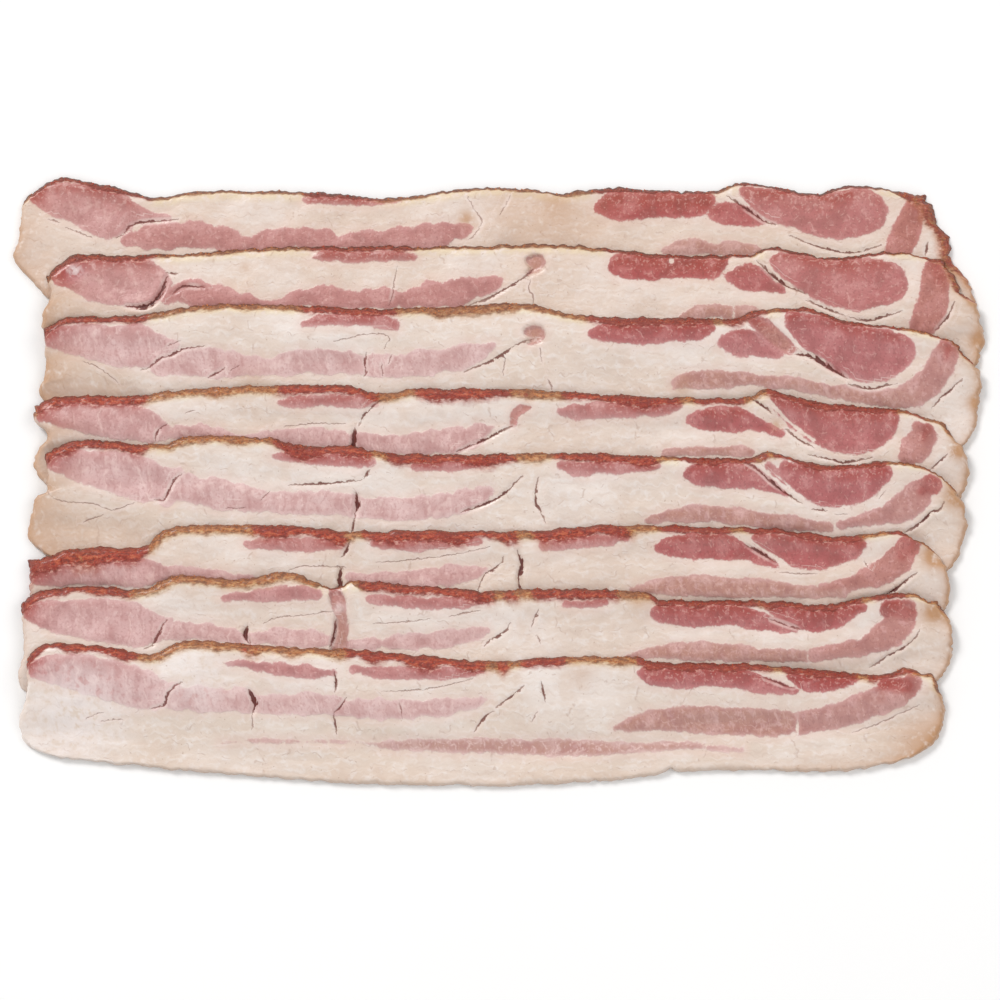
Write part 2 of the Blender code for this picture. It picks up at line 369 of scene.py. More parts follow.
SLICE_4 = Slice(
    back=((37, 408), (60, 398), (140, 396), (187, 391), (260, 387), (350, 387), (378, 394),
          (430, 390), (500, 390), (570, 393), (650, 398), (740, 399), (769, 391), (821, 404),
          (894, 410), (940, 423)),
    left=((35, 421), (49, 436), (34, 460), (42, 480), (62, 500)),
    right=((950, 435), (966, 457), (966, 482), (958, 500), (938, 510)),
    redness=0.18,
    crust=0.90,
    char=0.12,
    tab=0.45,
    lean=(
        ("eye", ((45, 415, 8), (60, 415, 12), (90, 418, 17), (120, 421, 18), (145, 425, 17),
                 (158, 430, 12), (168, 427, 5))),
        ("belly", ((165, 435, 6), (180, 432, 7), (200, 431, 7), (220, 436, 6), (240, 438, 4),
                   (260, 439, 4), (275, 436, 6), (300, 437, 9), (330, 438, 9), (350, 440, 8),
                   (365, 442, 10), (390, 445, 10), (410, 444, 11), (440, 442, 13), (465, 439, 12),
                   (480, 433, 9), (492, 427, 4))),
        ("back", ((280, 403, 3), (300, 402, 6), (330, 401, 6), (355, 402, 6), (375, 403, 4))),
        ("back", ((562, 412, 5), (580, 412, 8), (605, 411, 8), (640, 410, 8), (665, 410, 6),
                  (678, 406, 4))),
        ("upper", ((692, 420, 5), (705, 420, 11), (720, 420, 13), (738, 420, 12), (750, 422, 8),
                   (765, 428, 6), (780, 434, 4))),
        ("loin", ((775, 402, 8), (790, 411, 12), (815, 422, 20), (840, 428, 24), (865, 430, 22),
                  (880, 425, 16), (890, 418, 9))),
        ("smoked", ((925, 431, 9), (922, 438, 8))),
        ("band", ((915, 428, 6), (925, 434, 11), (915, 447, 15), (905, 457, 8))),
        ("low", ((665, 453, 3), (680, 452, 4), (700, 451, 5), (730, 451, 5), (750, 452, 4))),
        ("shaded_flap", ((512, 424, 3), (515, 415, 4), (522, 409, 4), (530, 408, 2))),
    ),
    cuts=(
        (CRACK, ((168, 425), (163, 428), (158, 433), (157, 440))),
        (TEAR, ((355, 430), (354, 440), (353, 452))),
        (SLIT, ((458, 452), (470, 446), (485, 440), (500, 432), (512, 427))),
        (FINE, ((285, 427), (315, 424), (345, 424))),
        (CRACK, ((360, 425), (363, 418), (372, 408), (380, 402))),
        (FINE, ((187, 413), (195, 411))),
        (SLIT, ((748, 397), (760, 405), (770, 413))),
        (CRACK, ((785, 430), (800, 441), (812, 447))),
        (CRACK, ((808, 455), (832, 460), (843, 463), (870, 458))),
        (CRACK, ((945, 455), (930, 470))),
    ),
    veins_and_highlights=((1.6, ((765, 399), (788, 422), (812, 440))),),
    stains_and_highlights=((775, 426, 6, 0.6), (957, 450, 9, 0.9)),
    red=((295, 370), (415, 510)),
)
SLICE_5 = Slice(
    back=((47, 454), (80, 441), (160, 445), (190, 437), (265, 438), (300, 447), (350, 447),
          (380, 453), (440, 456), (570, 454), (650, 457), (742, 459), (769, 453), (821, 465),
          (905, 463), (941, 479)),
    left=((48, 470), (49, 491), (37, 500), (30, 537), (46, 554), (64, 563)),
    right=((953, 490), (965, 512), (964, 535), (951, 566), (930, 578)),
    redness=0.04,
    crust=0.90,
    char=0.15,
    tab=0.45,
    lean=(
        ("eye", ((52, 460, 9), (65, 462, 13), (90, 468, 17), (115, 472, 20), (140, 478, 22),
                 (158, 482, 18), (170, 480, 12), (180, 474, 5))),
        ("belly", ((168, 497, 9), (185, 488, 13), (200, 492, 14), (215, 493, 16), (235, 497, 15),
                   (255, 500, 12), (275, 502, 11), (300, 503, 12), (330, 503, 12), (350, 505, 11),
                   (370, 508, 11), (400, 509, 12), (430, 507, 12), (455, 503, 12), (475, 497, 10),
                   (490, 492, 5))),
        ("back", ((275, 456, 3), (300, 457, 6), (330, 459, 7), (355, 461, 7), (370, 462, 5))),
        ("back", ((415, 467, 3), (440, 466, 5), (460, 465, 5), (480, 463, 4))),
        ("back", ((560, 466, 4), (580, 469, 7), (600, 468, 7), (630, 466, 7), (655, 466, 5))),
        ("upper", ((685, 475, 5), (700, 473, 13), (720, 475, 14), (745, 476, 13), (760, 480, 10),
                   (775, 486, 8), (785, 493, 5))),
        ("loin", ((785, 470, 8), (800, 478, 14), (820, 485, 20), (840, 486, 20), (860, 483, 17),
                  (875, 477, 12), (884, 472, 7))),
        ("smoked", ((929, 485, 11), (920, 491, 10))),
        ("band", ((925, 485, 8), (915, 497, 15), (900, 508, 14), (880, 516, 9), (860, 521, 6),
                  (840, 525, 5))),
        ("low", ((648, 520, 3), (665, 516, 6), (690, 514, 8), (720, 515, 9), (750, 518, 8),
                 (770, 521, 8), (800, 524, 7), (830, 527, 5))),
        ("back", ((767, 466, 4), (777, 472, 3))),
    ),
    cuts=(
        (CRACK, ((157, 500), (165, 500), (170, 491), (174, 483), (182, 474))),
        (FINE, ((50, 493), (62, 501), (95, 504), (115, 510), (135, 503))),
        (FINE, ((85, 522), (104, 515))),
        (FINE, ((228, 508), (245, 508))),
        (FINE, ((262, 500), (270, 492))),
        (TEAR, ((357, 494), (358, 505), (356, 515))),
        (CRACK, ((355, 518), (352, 535))),
        (SLIT, ((462, 512), (475, 508), (490, 502), (505, 493), (515, 483), (522, 477))),
        (CRACK, ((290, 485), (320, 484), (345, 482), (362, 480))),
        (CRACK, ((370, 470), (365, 477))),
        (CRACK, ((538, 478), (536, 490), (536, 505), (540, 510), (545, 522))),
        (SLIT, ((745, 463), (757, 470), (768, 480), (780, 490), (800, 503))),
        (CRACK, ((812, 509), (825, 511))),
        (FINE, ((835, 514), (845, 514))),
        (FINE, ((884, 492), (878, 498))),
        (SLIT, ((942, 503), (938, 510), (930, 512), (920, 522), (905, 532))),
    ),
    veins_and_highlights=((1.2, ((834, 515), (834, 535))), (1.8, ((748, 458), (770, 476), (795, 497)))),
    stains_and_highlights=((953, 497, 12, 1.0), (70, 532, 36, 0.3), (125, 537, 34, 0.25)),
    red=((385, 515),),
)
SLICE_6 = Slice(
    back=((30, 562), (80, 549), (143, 547), (165, 531), (210, 526), (300, 527), (348, 532),
          (420, 531), (520, 532), (600, 526), (700, 527), (775, 529), (837, 537), (892, 532),
          (918, 542)),
    left=((31, 585), (31, 610), (36, 640), (52, 664)),
    right=((937, 555), (948, 578), (946, 604), (925, 636)),
    redness=0.25,
    crust=1.05,
    char=0.08,
    lean=(
        ("eye", ((35, 575, 9), (60, 575, 12), (90, 573, 12), (120, 572, 14), (145, 572, 14),
                 (165, 572, 8), (175, 570, 4))),
        ("belly", ((170, 574, 6), (190, 573, 6), (210, 574, 6), (235, 577, 4), (255, 578, 2))),
        ("back", ((248, 544, 3), (270, 544, 6), (300, 545, 7), (325, 545, 6), (345, 543, 4))),
        ("back", ((375, 544, 4), (400, 545, 6), (430, 545, 5), (460, 543, 4), (480, 541, 3))),
        ("belly", ((350, 577, 4), (375, 579, 6), (400, 578, 7), (430, 577, 10), (455, 575, 10),
                   (475, 573, 6), (485, 570, 3))),
        ("back", ((545, 545, 6), (580, 541, 6), (605, 540, 6), (625, 537, 4))),
        ("upper", ((658, 547, 5), (675, 546, 11), (700, 546, 13), (725, 547, 13), (745, 553, 8),
                   (765, 560, 5), (775, 564, 3))),
        ("loin", ((757, 538, 6), (775, 545, 12), (800, 552, 16), (825, 553, 15), (845, 550, 11),
                  (860, 545, 6))),
        ("smoked", ((909, 544, 11), (901, 554, 11))),
        ("band", ((905, 545, 7), (897, 560, 14), (880, 572, 13), (860, 580, 9), (840, 586, 7),
                  (820, 590, 5))),
        ("low", ((632, 590, 3), (650, 588, 6), (670, 586, 9), (700, 586, 11), (730, 588, 10),
                 (760, 588, 9), (785, 590, 8), (810, 592, 6), (840, 591, 6))),
    ),
    cuts=(
        (SLIT, ((350, 543), (347, 550), (343, 556))),
        (TEAR, ((342, 568), (340, 578), (341, 585), (338, 592))),
        (FINE, ((290, 570), (305, 566), (345, 567))),
        (FINE, ((378, 562), (400, 561), (425, 558), (450, 555), (470, 551), (490, 547))),
        (CRACK, ((503, 557), (502, 562), (495, 568), (485, 575), (478, 590))),
        (TEAR, ((518, 552), (522, 565), (519, 575), (520, 590))),
        (SLIT, ((745, 545), (760, 553), (775, 562))),
        (FINE, ((780, 572), (800, 574), (815, 573))),
        (CRACK, ((864, 562), (866, 565))),
        (SLIT, ((915, 573), (905, 580), (897, 587), (888, 593), (870, 603))),
    ),
    veins_and_highlights=((1.8, ((742, 534), (760, 548), (785, 564))),),
    stains_and_highlights=((545, 546, 6, 0.5), (932, 557, 12, 1.0)),
    red=((362, 492), (530, 625), (495, 515)),
    wide=((0, 140, 6),),
)
SLICE_7 = Slice(
    back=((22, 606), (43, 591), (100, 587), (143, 590), (180, 576), (240, 580), (290, 572),
          (330, 588), (365, 582), (480, 591), (550, 589), (640, 592), (665, 600), (760, 601),
          (821, 605), (895, 593), (934, 603)),
    left=((24, 625), (25, 650), (19, 679), (30, 694), (48, 704)),
    right=((946, 617), (952, 641), (945, 669), (925, 690)),
    redness=0.12,
    crust=0.95,
    char=0.15,
    lean=(
        ("eye", ((32, 612, 9), (50, 615, 15), (80, 618, 19), (110, 621, 22), (135, 625, 21),
                 (152, 628, 16), (165, 624, 7), (172, 620, 3))),
        ("belly", ((163, 635, 5), (180, 630, 9), (205, 631, 9), (230, 634, 8), (243, 637, 6),
                   (258, 637, 6), (280, 636, 9), (305, 638, 9), (326, 640, 8))),
        ("belly", ((354, 644, 5), (375, 643, 6), (400, 642, 7), (430, 640, 9), (455, 637, 9),
                   (475, 633, 6), (488, 630, 3))),
        ("shaded_tear", ((334, 590, 4), (338, 600, 8), (341, 612, 6), (342, 628, 7), (340, 644, 8),
                  (338, 656, 8))),
        ("back", ((225, 597, 3), (245, 596, 5), (275, 594, 7), (300, 592, 8), (318, 594, 5))),
        ("back", ((370, 598, 3), (385, 600, 5), (410, 602, 6), (440, 603, 6), (465, 602, 6),
                  (485, 598, 5))),
        ("back", ((565, 603, 3), (585, 604, 4), (605, 602, 3))),
        ("upper", ((652, 613, 4), (665, 612, 11), (690, 614, 13), (715, 613, 13), (735, 613, 12),
                   (755, 620, 10), (775, 625, 6), (795, 629, 3))),
        ("loin", ((770, 607, 6), (790, 613, 11), (810, 617, 15), (830, 615, 14), (845, 611, 9),
                  (860, 607, 5))),
        ("smoked", ((888, 609, 11), (904, 612, 12))),
        ("band", ((905, 608, 10), (898, 622, 15), (885, 635, 15), (865, 645, 10), (840, 650, 8),
                  (812, 655, 6))),
        ("low", ((625, 657, 2), (645, 653, 4), (665, 651, 7), (695, 651, 9), (730, 652, 9),
                 (755, 654, 7), (780, 655, 7), (803, 656, 6))),
    ),
    cuts=(
        (CRACK, ((168, 620), (165, 624), (160, 633), (157, 638), (154, 645), (147, 648))),
        (TEAR, ((248, 627), (246, 634), (250, 643))),
        (FINE, ((265, 623), (275, 618), (285, 616), (300, 615), (315, 613), (333, 611))),
        (SLIT, ((338, 579), (341, 588))),
        (SLIT, ((336, 620), (335, 632), (331, 646))),
        (FINE, ((375, 623), (410, 621), (430, 618))),
        (FINE, ((450, 616), (480, 610))),
        (CRACK, ((510, 623), (505, 631), (490, 640), (485, 645))),
        (CRACK, ((538, 610), (532, 625))),
        (FINE, ((537, 635), (540, 642))),
        (CRACK, ((770, 619), (787, 625), (798, 629))),
        (CRACK, ((918, 630), (912, 640), (898, 650), (888, 655), (870, 667))),
    ),
    # painted highlight: the first, widest vein is the lit raised edge of the tear
    veins_and_highlights=((2.4, ((318, 578), (325, 587), (328, 598), (330, 606), (335, 618))),
           (1.8, ((743, 604), (765, 611))), (0.4, ((807, 645), (807, 662)))),
    stains_and_highlights=((932, 612, 12, 1.0), (640, 600, 12, 0.5), (340, 608, 6, -0.5)),
    red=((360, 492), (503, 515), (530, 615)),
    gold=((190, 326),),
    wide=((0, 125, -2), (322, 352, -12)),
)
SLICE_8 = Slice(
    back=((29, 658), (50, 644), (100, 646), (153, 654), (190, 641), (280, 647), (370, 651),
          (485, 661), (555, 657), (635, 657), (655, 662), (760, 665), (872, 675), (905, 669),
          (932, 677)),
    left=((30, 679), (26, 704), (21, 728), (31, 747), (60, 757)),
    right=((938, 690), (944, 714), (934, 741), (908, 760)),
    redness=0.02,
    crust=0.95,
    char=0.10,
    tab=-0.3,
    lean=(
        ("eye", ((37, 667, 9), (55, 668, 14), (85, 673, 19), (115, 680, 21), (140, 688, 20),
                 (155, 693, 15), (168, 692, 10), (178, 686, 5))),
        ("belly", ((172, 700, 8), (190, 698, 13), (215, 699, 12), (240, 700, 12), (262, 704, 9),
                   (280, 704, 10), (305, 703, 11), (330, 705, 10), (350, 708, 10), (375, 709, 10),
                   (400, 709, 10), (425, 708, 10), (450, 706, 9), (470, 703, 6), (485, 699, 3))),
        ("back", ((225, 663, 2), (245, 663, 5), (270, 667, 6), (300, 670, 7), (320, 672, 6),
                  (335, 672, 3))),
        ("back", ((355, 668, 4), (380, 672, 6), (410, 673, 6), (440, 673, 6), (465, 671, 6),
                  (482, 667, 5))),
        ("upper", ((642, 673, 5), (655, 674, 12), (685, 674, 13), (710, 674, 12), (735, 677, 11),
                   (760, 683, 9), (780, 687, 6), (795, 690, 3))),
        ("loin", ((790, 676, 6), (805, 680, 10), (820, 680, 11), (840, 679, 9), (855, 675, 5))),
        ("smoked", ((885, 685, 9), (906, 686, 12))),
        ("band", ((910, 683, 11), (895, 692, 14), (870, 703, 14), (845, 713, 13), (820, 719, 12),
                  (800, 723, 12))),
        ("low", ((615, 728, 3), (630, 725, 7), (655, 720, 11), (680, 719, 13), (705, 719, 14),
                 (735, 721, 14), (760, 722, 14), (785, 723, 13))),
    ),
    cuts=(
        (CRACK, ((152, 708), (160, 706), (166, 704), (168, 697), (170, 692), (173, 689),
                 (178, 684), (183, 682))),
        (TEAR, ((250, 690), (256, 703), (254, 712))),
        (FINE, ((253, 714), (253, 728))),
        (SLIT, ((335, 672), (337, 680), (336, 690))),
        (CRACK, ((347, 697), (342, 705), (335, 712))),
        (CRACK, ((334, 715), (337, 732))),
        (FINE, ((400, 703), (403, 717))),
        (FINE, ((383, 690), (410, 690), (440, 686), (473, 678))),
        (CRACK, ((763, 677), (772, 680), (782, 684), (792, 687))),
        (FINE, ((918, 705), (900, 713), (885, 720), (870, 726), (853, 732))),
        (FINE, ((88, 718), (95, 714), (103, 712))),
        (FINE, ((103, 721), (112, 719), (123, 719))),
        (CRACK, ((523, 685), (515, 693), (508, 698), (497, 706))),
        (CRACK, ((493, 711), (485, 716), (475, 730))),
        (CRACK, ((541, 682), (543, 690), (545, 700))),
        (FINE, ((537, 712), (532, 720))),
    ),
    veins_and_highlights=((1.8, ((743, 666), (765, 674))), (0.7, ((797, 706), (797, 736))),
           (1.8, ((700, 697), (790, 702), (820, 700), (845, 695), (868, 680)))),
    stains_and_highlights=((580, 672, 14, 0.4), (500, 668, 8, 0.4), (926, 741, 34, 0.7), (75, 715, 45, -0.7),
            (200, 675, 30, -0.5)),
    red=((345, 485), (496, 507), (520, 565)),
    wide=((0, 125, -4),),
    nicks=((671, 6, 5), (455, 12, 2.5), (905, 10, 2)),
)
SLICES = (SLICE_1, SLICE_2, SLICE_3, SLICE_4, SLICE_5, SLICE_6, SLICE_7, SLICE_8)

# The faint streak near the front edge, drawn on the front slice and moved to the others
FAINT_STREAK = ((220, 743, 0.5), (255, 740, 1.5), (280, 741, 1.5), (320, 741, 1.5),
                (360, 742, 0.5), (385, 745, 3.5), (420, 744, 5.5), (450, 745, 6.5),
                (480, 745, 7.5), (510, 746, 7.5), (540, 747, 8.5), (570, 747, 8.5),
                (600, 748, 7.5), (640, 747, 4.5), (680, 745, 4.5), (710, 747, 2.5),
                (740, 750, 1.5))


def tint(red, green, blue):
    """A linear colour from the three 8-bit values of a screen colour."""
    parts = np.array([red, green, blue]) / 255
    return tuple(np.where(parts <= 0.04045, parts / 12.92, ((parts + 0.055) / 1.055) ** 2.4))


def size_property(name, description, default):
    return FloatProperty(name=name, description=description, default=default, unit="LENGTH")


def colour_property(name, description, *screen_colour):
    return FloatVectorProperty(name=name, description=description, subtype="COLOR",
                               default=tint(*screen_colour))


class BaconSizes(bpy.types.PropertyGroup):
    """Sizes of the slices."""

    thickness: size_property("Thickness", "Thickness of a slice", 0.0024)
    edge_round: size_property("Edge rounding", "How far in the smoked edge is rounded", 0.0026)
    rim_round: size_property("Rim rounding", "How far in the other edges are rounded", 0.0016)
    clearance: size_property("Clearance", "Least gap between one slice and what it lies on", 0.00006)
    unevenness: size_property("Unevenness", "Height of the low swells of a slice", 0.00022)
    crumb_size: size_property("Crumb size", "Largest radius of a crumb on the smoked edge", 0.00026)
    crumb_density: FloatProperty(
        name="Crumb density", description="Crumbs on each square metre of smoked edge",
        default=900000.0)
    seed: IntProperty(name="Seed", description="Seed of every random draw", default=7)


class BaconColours(bpy.types.PropertyGroup):
    """Colours of fat, lean and smoked edge."""

    fat: colour_property("Fat", "Fat away from the edge", 229, 212, 200)
    fat_cool: colour_property("Cool fat", "Whiter patches of the fat", 236, 223, 215)
    fat_cream: colour_property("Creamy fat", "Yellower fat below the smoked edge", 228, 210, 168)
    lean_pale: colour_property("Pale lean", "Lean of the belly", 223, 190, 187)
    lean_deep: colour_property("Deep lean", "Lean of the loin", 171, 75, 78)
    lean_brown: colour_property("Brown lean", "Lean that has dulled", 184, 134, 118)
    edge_red: colour_property("Red edge", "Smoked edge over lean", 168, 54, 32)
    edge_gold: colour_property("Golden edge", "Smoked edge over fat", 188, 114, 62)
    edge_dark: colour_property("Dark edge", "Outermost line of the smoked edge", 86, 50, 34)
    # painted shade: the darkest colour, in the core of the wider slits and tears
    opening: colour_property("Opening", "Inside of slits and tears", 104, 42, 34)


# Curves and fields over the plan


def cubic(values, places):
    """Values at fractional places along the first axis, on a smooth curve through them all."""
    values = np.asarray(values, float)
    padded = np.concatenate([2 * values[:1] - values[1:2], values, 2 * values[-1:] - values[-2:-1]])
    cell = np.clip(np.floor(places).astype(int), 0, len(values) - 2)
    t = (places - cell).reshape((-1,) + (1,) * (values.ndim - 1))
    a, b, c, d = (padded[cell + step] for step in range(4))
    bend = 2 * a - 5 * b + 4 * c - d
    twist = 3 * b - a - 3 * c + d
    return 0.5 * (2 * b + (c - a) * t + bend * t ** 2 + twist * t ** 3)


def smooth_curve(points, parts):
    """Points at the given parts of the length of a smooth curve through the given ones."""
    fine = cubic(points, np.linspace(0, len(points) - 1, 12 * (len(points) - 1) + 1))
    run = np.append(0, np.cumsum(np.hypot(*np.diff(fine[:, :2], axis=0).T)))
    return np.column_stack([np.interp(parts * run[-1], run, column) for column in fine.T])


def front_edge(left_corner, right_corner, parts):
    """The bowed front edge between the two front corners."""
    share = np.linspace(0, 1, len(FRONT_BOW))
    line = np.outer(1 - share, left_corner) + np.outer(share, right_corner)
    line[:, 1] += FRONT_BOW
    return smooth_curve(line, parts)


def plan_of(piece, along, across):
    """Pixel places of a slice at parts of its length and width, as rows from back to front."""
    back = smooth_curve(piece.back, along)
    left = smooth_curve((piece.back[0],) + piece.left, across)
    right = smooth_curve((piece.back[-1],) + piece.right, across)
    front = front_edge(piece.left[-1], piece.right[-1], along)
    u = along[None, :, None]
    v = across[:, None, None]
    ruled = (1 - v) * back[None] + v * front[None] + (1 - u) * left[:, None] + u * right[:, None]
    corner = np.array([piece.back[0], piece.back[-1], piece.left[-1], piece.right[-1]], float)
    corners = ((1 - v) * ((1 - u) * corner[0] + u * corner[1])
               + v * ((1 - u) * corner[2] + u * corner[3]))
    return ruled - corners


def plan_middle():
    """Middle of the box round all slices, in pixels: the origin of the model."""
    along, across = (np.linspace(0, 1, cells + 1) for cells in SOLID_CELLS)
    points = np.vstack([plan_of(piece, along, across).reshape(-1, 2) for piece in SLICES])
    return (points.min(axis=0) + points.max(axis=0)) / 2


MIDDLE = plan_middle()


def to_metres(places):
    return (places - MIDDLE) * (PIXEL, -PIXEL)


def swells(places, wavelength, random, waves=14):
    """A smooth random field of about unit height over the given places."""
    turns = random.uniform(0, 2 * np.pi, waves)
    lengths = wavelength * random.uniform(0.7, 1.6, waves)
    shifts = random.uniform(0, 2 * np.pi, waves)
    field = np.zeros(places.shape[:-1])
    for turn, length, shift in zip(turns, lengths, shifts):
        run = places[..., 0] * np.cos(turn) + places[..., 1] * np.sin(turn)
        field += np.sin(2 * np.pi * run / length + shift)
    return field / np.sqrt(waves)


def rise(field, low, high):
    """Smooth step of a field from 0 at low to 1 at high."""
    t = np.clip((field - low) / (high - low), 0, 1)
    return t * t * (3 - 2 * t)


def between(x, start, end, soft):
    """1 from start to end and 0 outside, smooth over soft on both sides of each."""
    return rise(x, start - soft, start + soft) * (1 - rise(x, end - soft, end + soft))


def fade(field, reach):
    """1 where a field is 0, dying out over the given reach."""
    return np.exp(-field / reach)


def bell(field, width):
    """1 where a field is 0, falling off on both sides over the given width."""
    return np.exp(-(field / width) ** 2)


def rounded(part, least):
    """Quarter of an ellipse that rises from least at 0 to 1 where part is 1."""
    return least + (1 - least) * np.sqrt(1 - (1 - np.clip(part, 0, 1)) ** 2)


def away(places, x, y):
    """Distance of each place from a point."""
    return np.hypot(places[..., 0] - x, places[..., 1] - y)


def streak_depth(places, stations):
    """How many pixels each place lies inside a streak; negative outside."""
    span = np.subtract(stations[-1], stations[0])[:2]
    fine = smooth_curve(stations, np.linspace(0, 1, 12 + int(np.hypot(*span) / 2)))
    depth = np.full(places.shape[:-1], -1e3)
    for x, y, half in fine:
        depth = np.maximum(depth, half - away(places, x, y))
    return depth


def line_distance(places, points):
    """Distance of each place to a line, with a sign for its side, and how far along it is."""
    points = smooth_curve(points, np.linspace(0, 1, 4 * len(points)))
    nearest = np.full(places.shape[:-1], 1e3)
    along = np.zeros(places.shape[:-1])
    for step, (start, end) in enumerate(zip(points, points[1:])):
        run = end - start
        off = places - start
        part = np.clip((off @ run) / (run @ run), 0, 1)
        far = away(off - part[..., None] * run, 0, 0)
        side = np.where(run[0] * off[..., 1] - run[1] * off[..., 0] < 0, -1, 1)
        along = np.where(far < np.abs(nearest), (step + part) / (len(points) - 1), along)
        nearest = np.where(far < np.abs(nearest), side * far, nearest)
    return nearest, along


def blurred(row, reach):
    """A row of values averaged over its neighbours."""
    weights = np.hanning(2 * reach + 3)[1:-1]
    return np.convolve(np.pad(row, reach, mode="edge"), weights / weights.sum(), mode="valid")


class Sheet:
    """Plan, distances and meat pattern of one slice on its fine grid."""

    def __init__(self, index, sizes):
        self.piece = SLICES[index]
        self.sizes = sizes
        self.random = np.random.default_rng([sizes.seed, index])
        self.along = np.linspace(0, 1, COLUMNS + 1)
        edge = np.linspace(0, EDGE_SHARE, EDGE_ROWS, endpoint=False)
        self.across = np.append(edge, np.linspace(EDGE_SHARE, 1, INNER_ROWS + 1))
        self.places = plan_of(self.piece, self.along, self.across)
        self.measure_edges()
        self.scallop()
        self.lay_pattern(index)
        self.lay_cuts()
        self.smoke()

    def measure_edges(self):
        """Pixels from the back edge, and from the nearest of the other edges."""
        down, run = (np.cumsum(away(np.diff(self.places, axis=axis), 0, 0), axis=axis)
                     for axis in (0, 1))
        self.edge = np.vstack([np.zeros(COLUMNS + 1), down])
        start = np.zeros((len(self.across), 1))
        self.left = np.hstack([start, run])
        self.right = np.hstack([run[:, ::-1][:, :1] - np.hstack([start, run[:, :-1]]), start])
        self.front = self.edge[-1] - self.edge
        self.rim = np.minimum(np.minimum(self.left, self.right), self.front)
        reach = self.piece.wrap
        round_right = self.right + CORNER * rise(self.edge, 0.6 * reach, 1.3 * reach)
        round_left = self.left + CORNER * rise(self.edge, 4, 16)
        self.smoked = np.minimum(self.edge, np.minimum(round_right, round_left))

    def scallop(self):
        """Small seeded scallops that die out a little inside each edge."""
        still = self.places.copy()
        push = sum(height * swells(still, wavelength, self.random)
                   for wavelength, height in SCALLOPS)
        self.places[..., 1] += push * (fade(self.edge, 7) + 0.8 * fade(self.front, 7))
        ragged = 1 + 3 * self.piece.char
        self.places[..., 0] += 0.9 * push * (fade(self.left, 6) - ragged * fade(self.right, 6))
        for x, half, depth in self.piece.nicks:
            notch = depth * bell(still[..., 0] - x, half)
            self.places[..., 1] -= notch * fade(self.front, 8)

    def faint_streak(self):
        """The streak near the front edge, kept at its distance from this slice's own edge."""
        here, drawn = (front_edge(piece.left[-1], piece.right[-1], self.along).T
                       for piece in (self.piece, SLICE_8))
        return tuple((x, y + np.interp(x, *here) - np.interp(x, *drawn), half)
                     for x, y, half in FAINT_STREAK)

    def lay_pattern(self, index):
        """Depth inside lean, its tone, and how far it is sunk."""
        shape = self.edge.shape
        self.lean = np.full(shape, -1e3)
        self.sunk = np.zeros(shape)
        weight = np.full(shape, 1e-9)
        self.tone = np.zeros(shape)
        self.brown = np.zeros(shape)
        for kind, stations in self.piece.lean + (("faint", self.faint_streak()),):
            tone, brown, sunk = LEAN_KINDS[kind]
            depth = streak_depth(self.places, stations)
            tone += REDDENING.get(kind, 0) * self.piece.redness
            if kind == "eye":
                tone = tone + EYE_DEEPENING * bell(self.left, EYE_REACH)
            if kind == "loin":
                tone += LOIN_DEEPENING * index
            if kind in LOBE_DEPTHS:
                phase = np.pi * self.places[..., 0] / LOBE_LENGTH + index
                lobes = np.abs(np.sin(phase + 0.9 * np.sin(0.37 * phase + index)))
                depth += LOBE_DEPTHS[kind] * (lobes - LOBE_LEVEL)
            full = FULL_SMOKED_DEPTH if kind == "smoked" else FULL_DEPTH
            share = np.exp(np.clip(depth, -30, full) / 2)
            weight += share
            self.tone += share * tone
            self.brown += share * brown
            self.sunk = np.maximum(self.sunk, sunk * rise(depth, -1.5, 2.5))
            self.lean = np.maximum(self.lean, depth)
        self.tone /= weight
        self.brown /= weight
        for half, points in self.piece.veins_and_highlights:
            outside = np.abs(line_distance(self.places, points)[0]) - half
            self.lean = np.minimum(self.lean, 1.6 * outside)
        self.lean = np.clip(self.lean, -20, 20)

    def lay_cuts(self):
        """Signed distance to the nearest cut, its half width, and the relief of them all."""
        shape = self.edge.shape
        self.cut_side = np.full(shape, 8.0)
        self.cut_half = np.zeros(shape)
        self.relief = np.zeros(shape)
        for cut, points in self.piece.cuts:
            side, along = line_distance(self.places, points)
            far = np.abs(side)
            taper = 0.35 + 0.65 * np.sin(np.pi * along) ** 0.7
            nearer = far < np.abs(self.cut_side)
            self.cut_side = np.where(nearer, side, self.cut_side)
            self.cut_half = np.where(nearer, cut.half * taper, self.cut_half)
            spread = max(cut.half, 1.2) * 1.15
            self.relief -= taper * cut.depth * bell(far, spread)
            self.relief += 0.1 * cut.depth * bell(far - 2.5 * spread, spread)
        self.cut_near = 1 - rise(np.abs(self.cut_side), self.cut_half + 1.0, self.cut_half + 2.4)

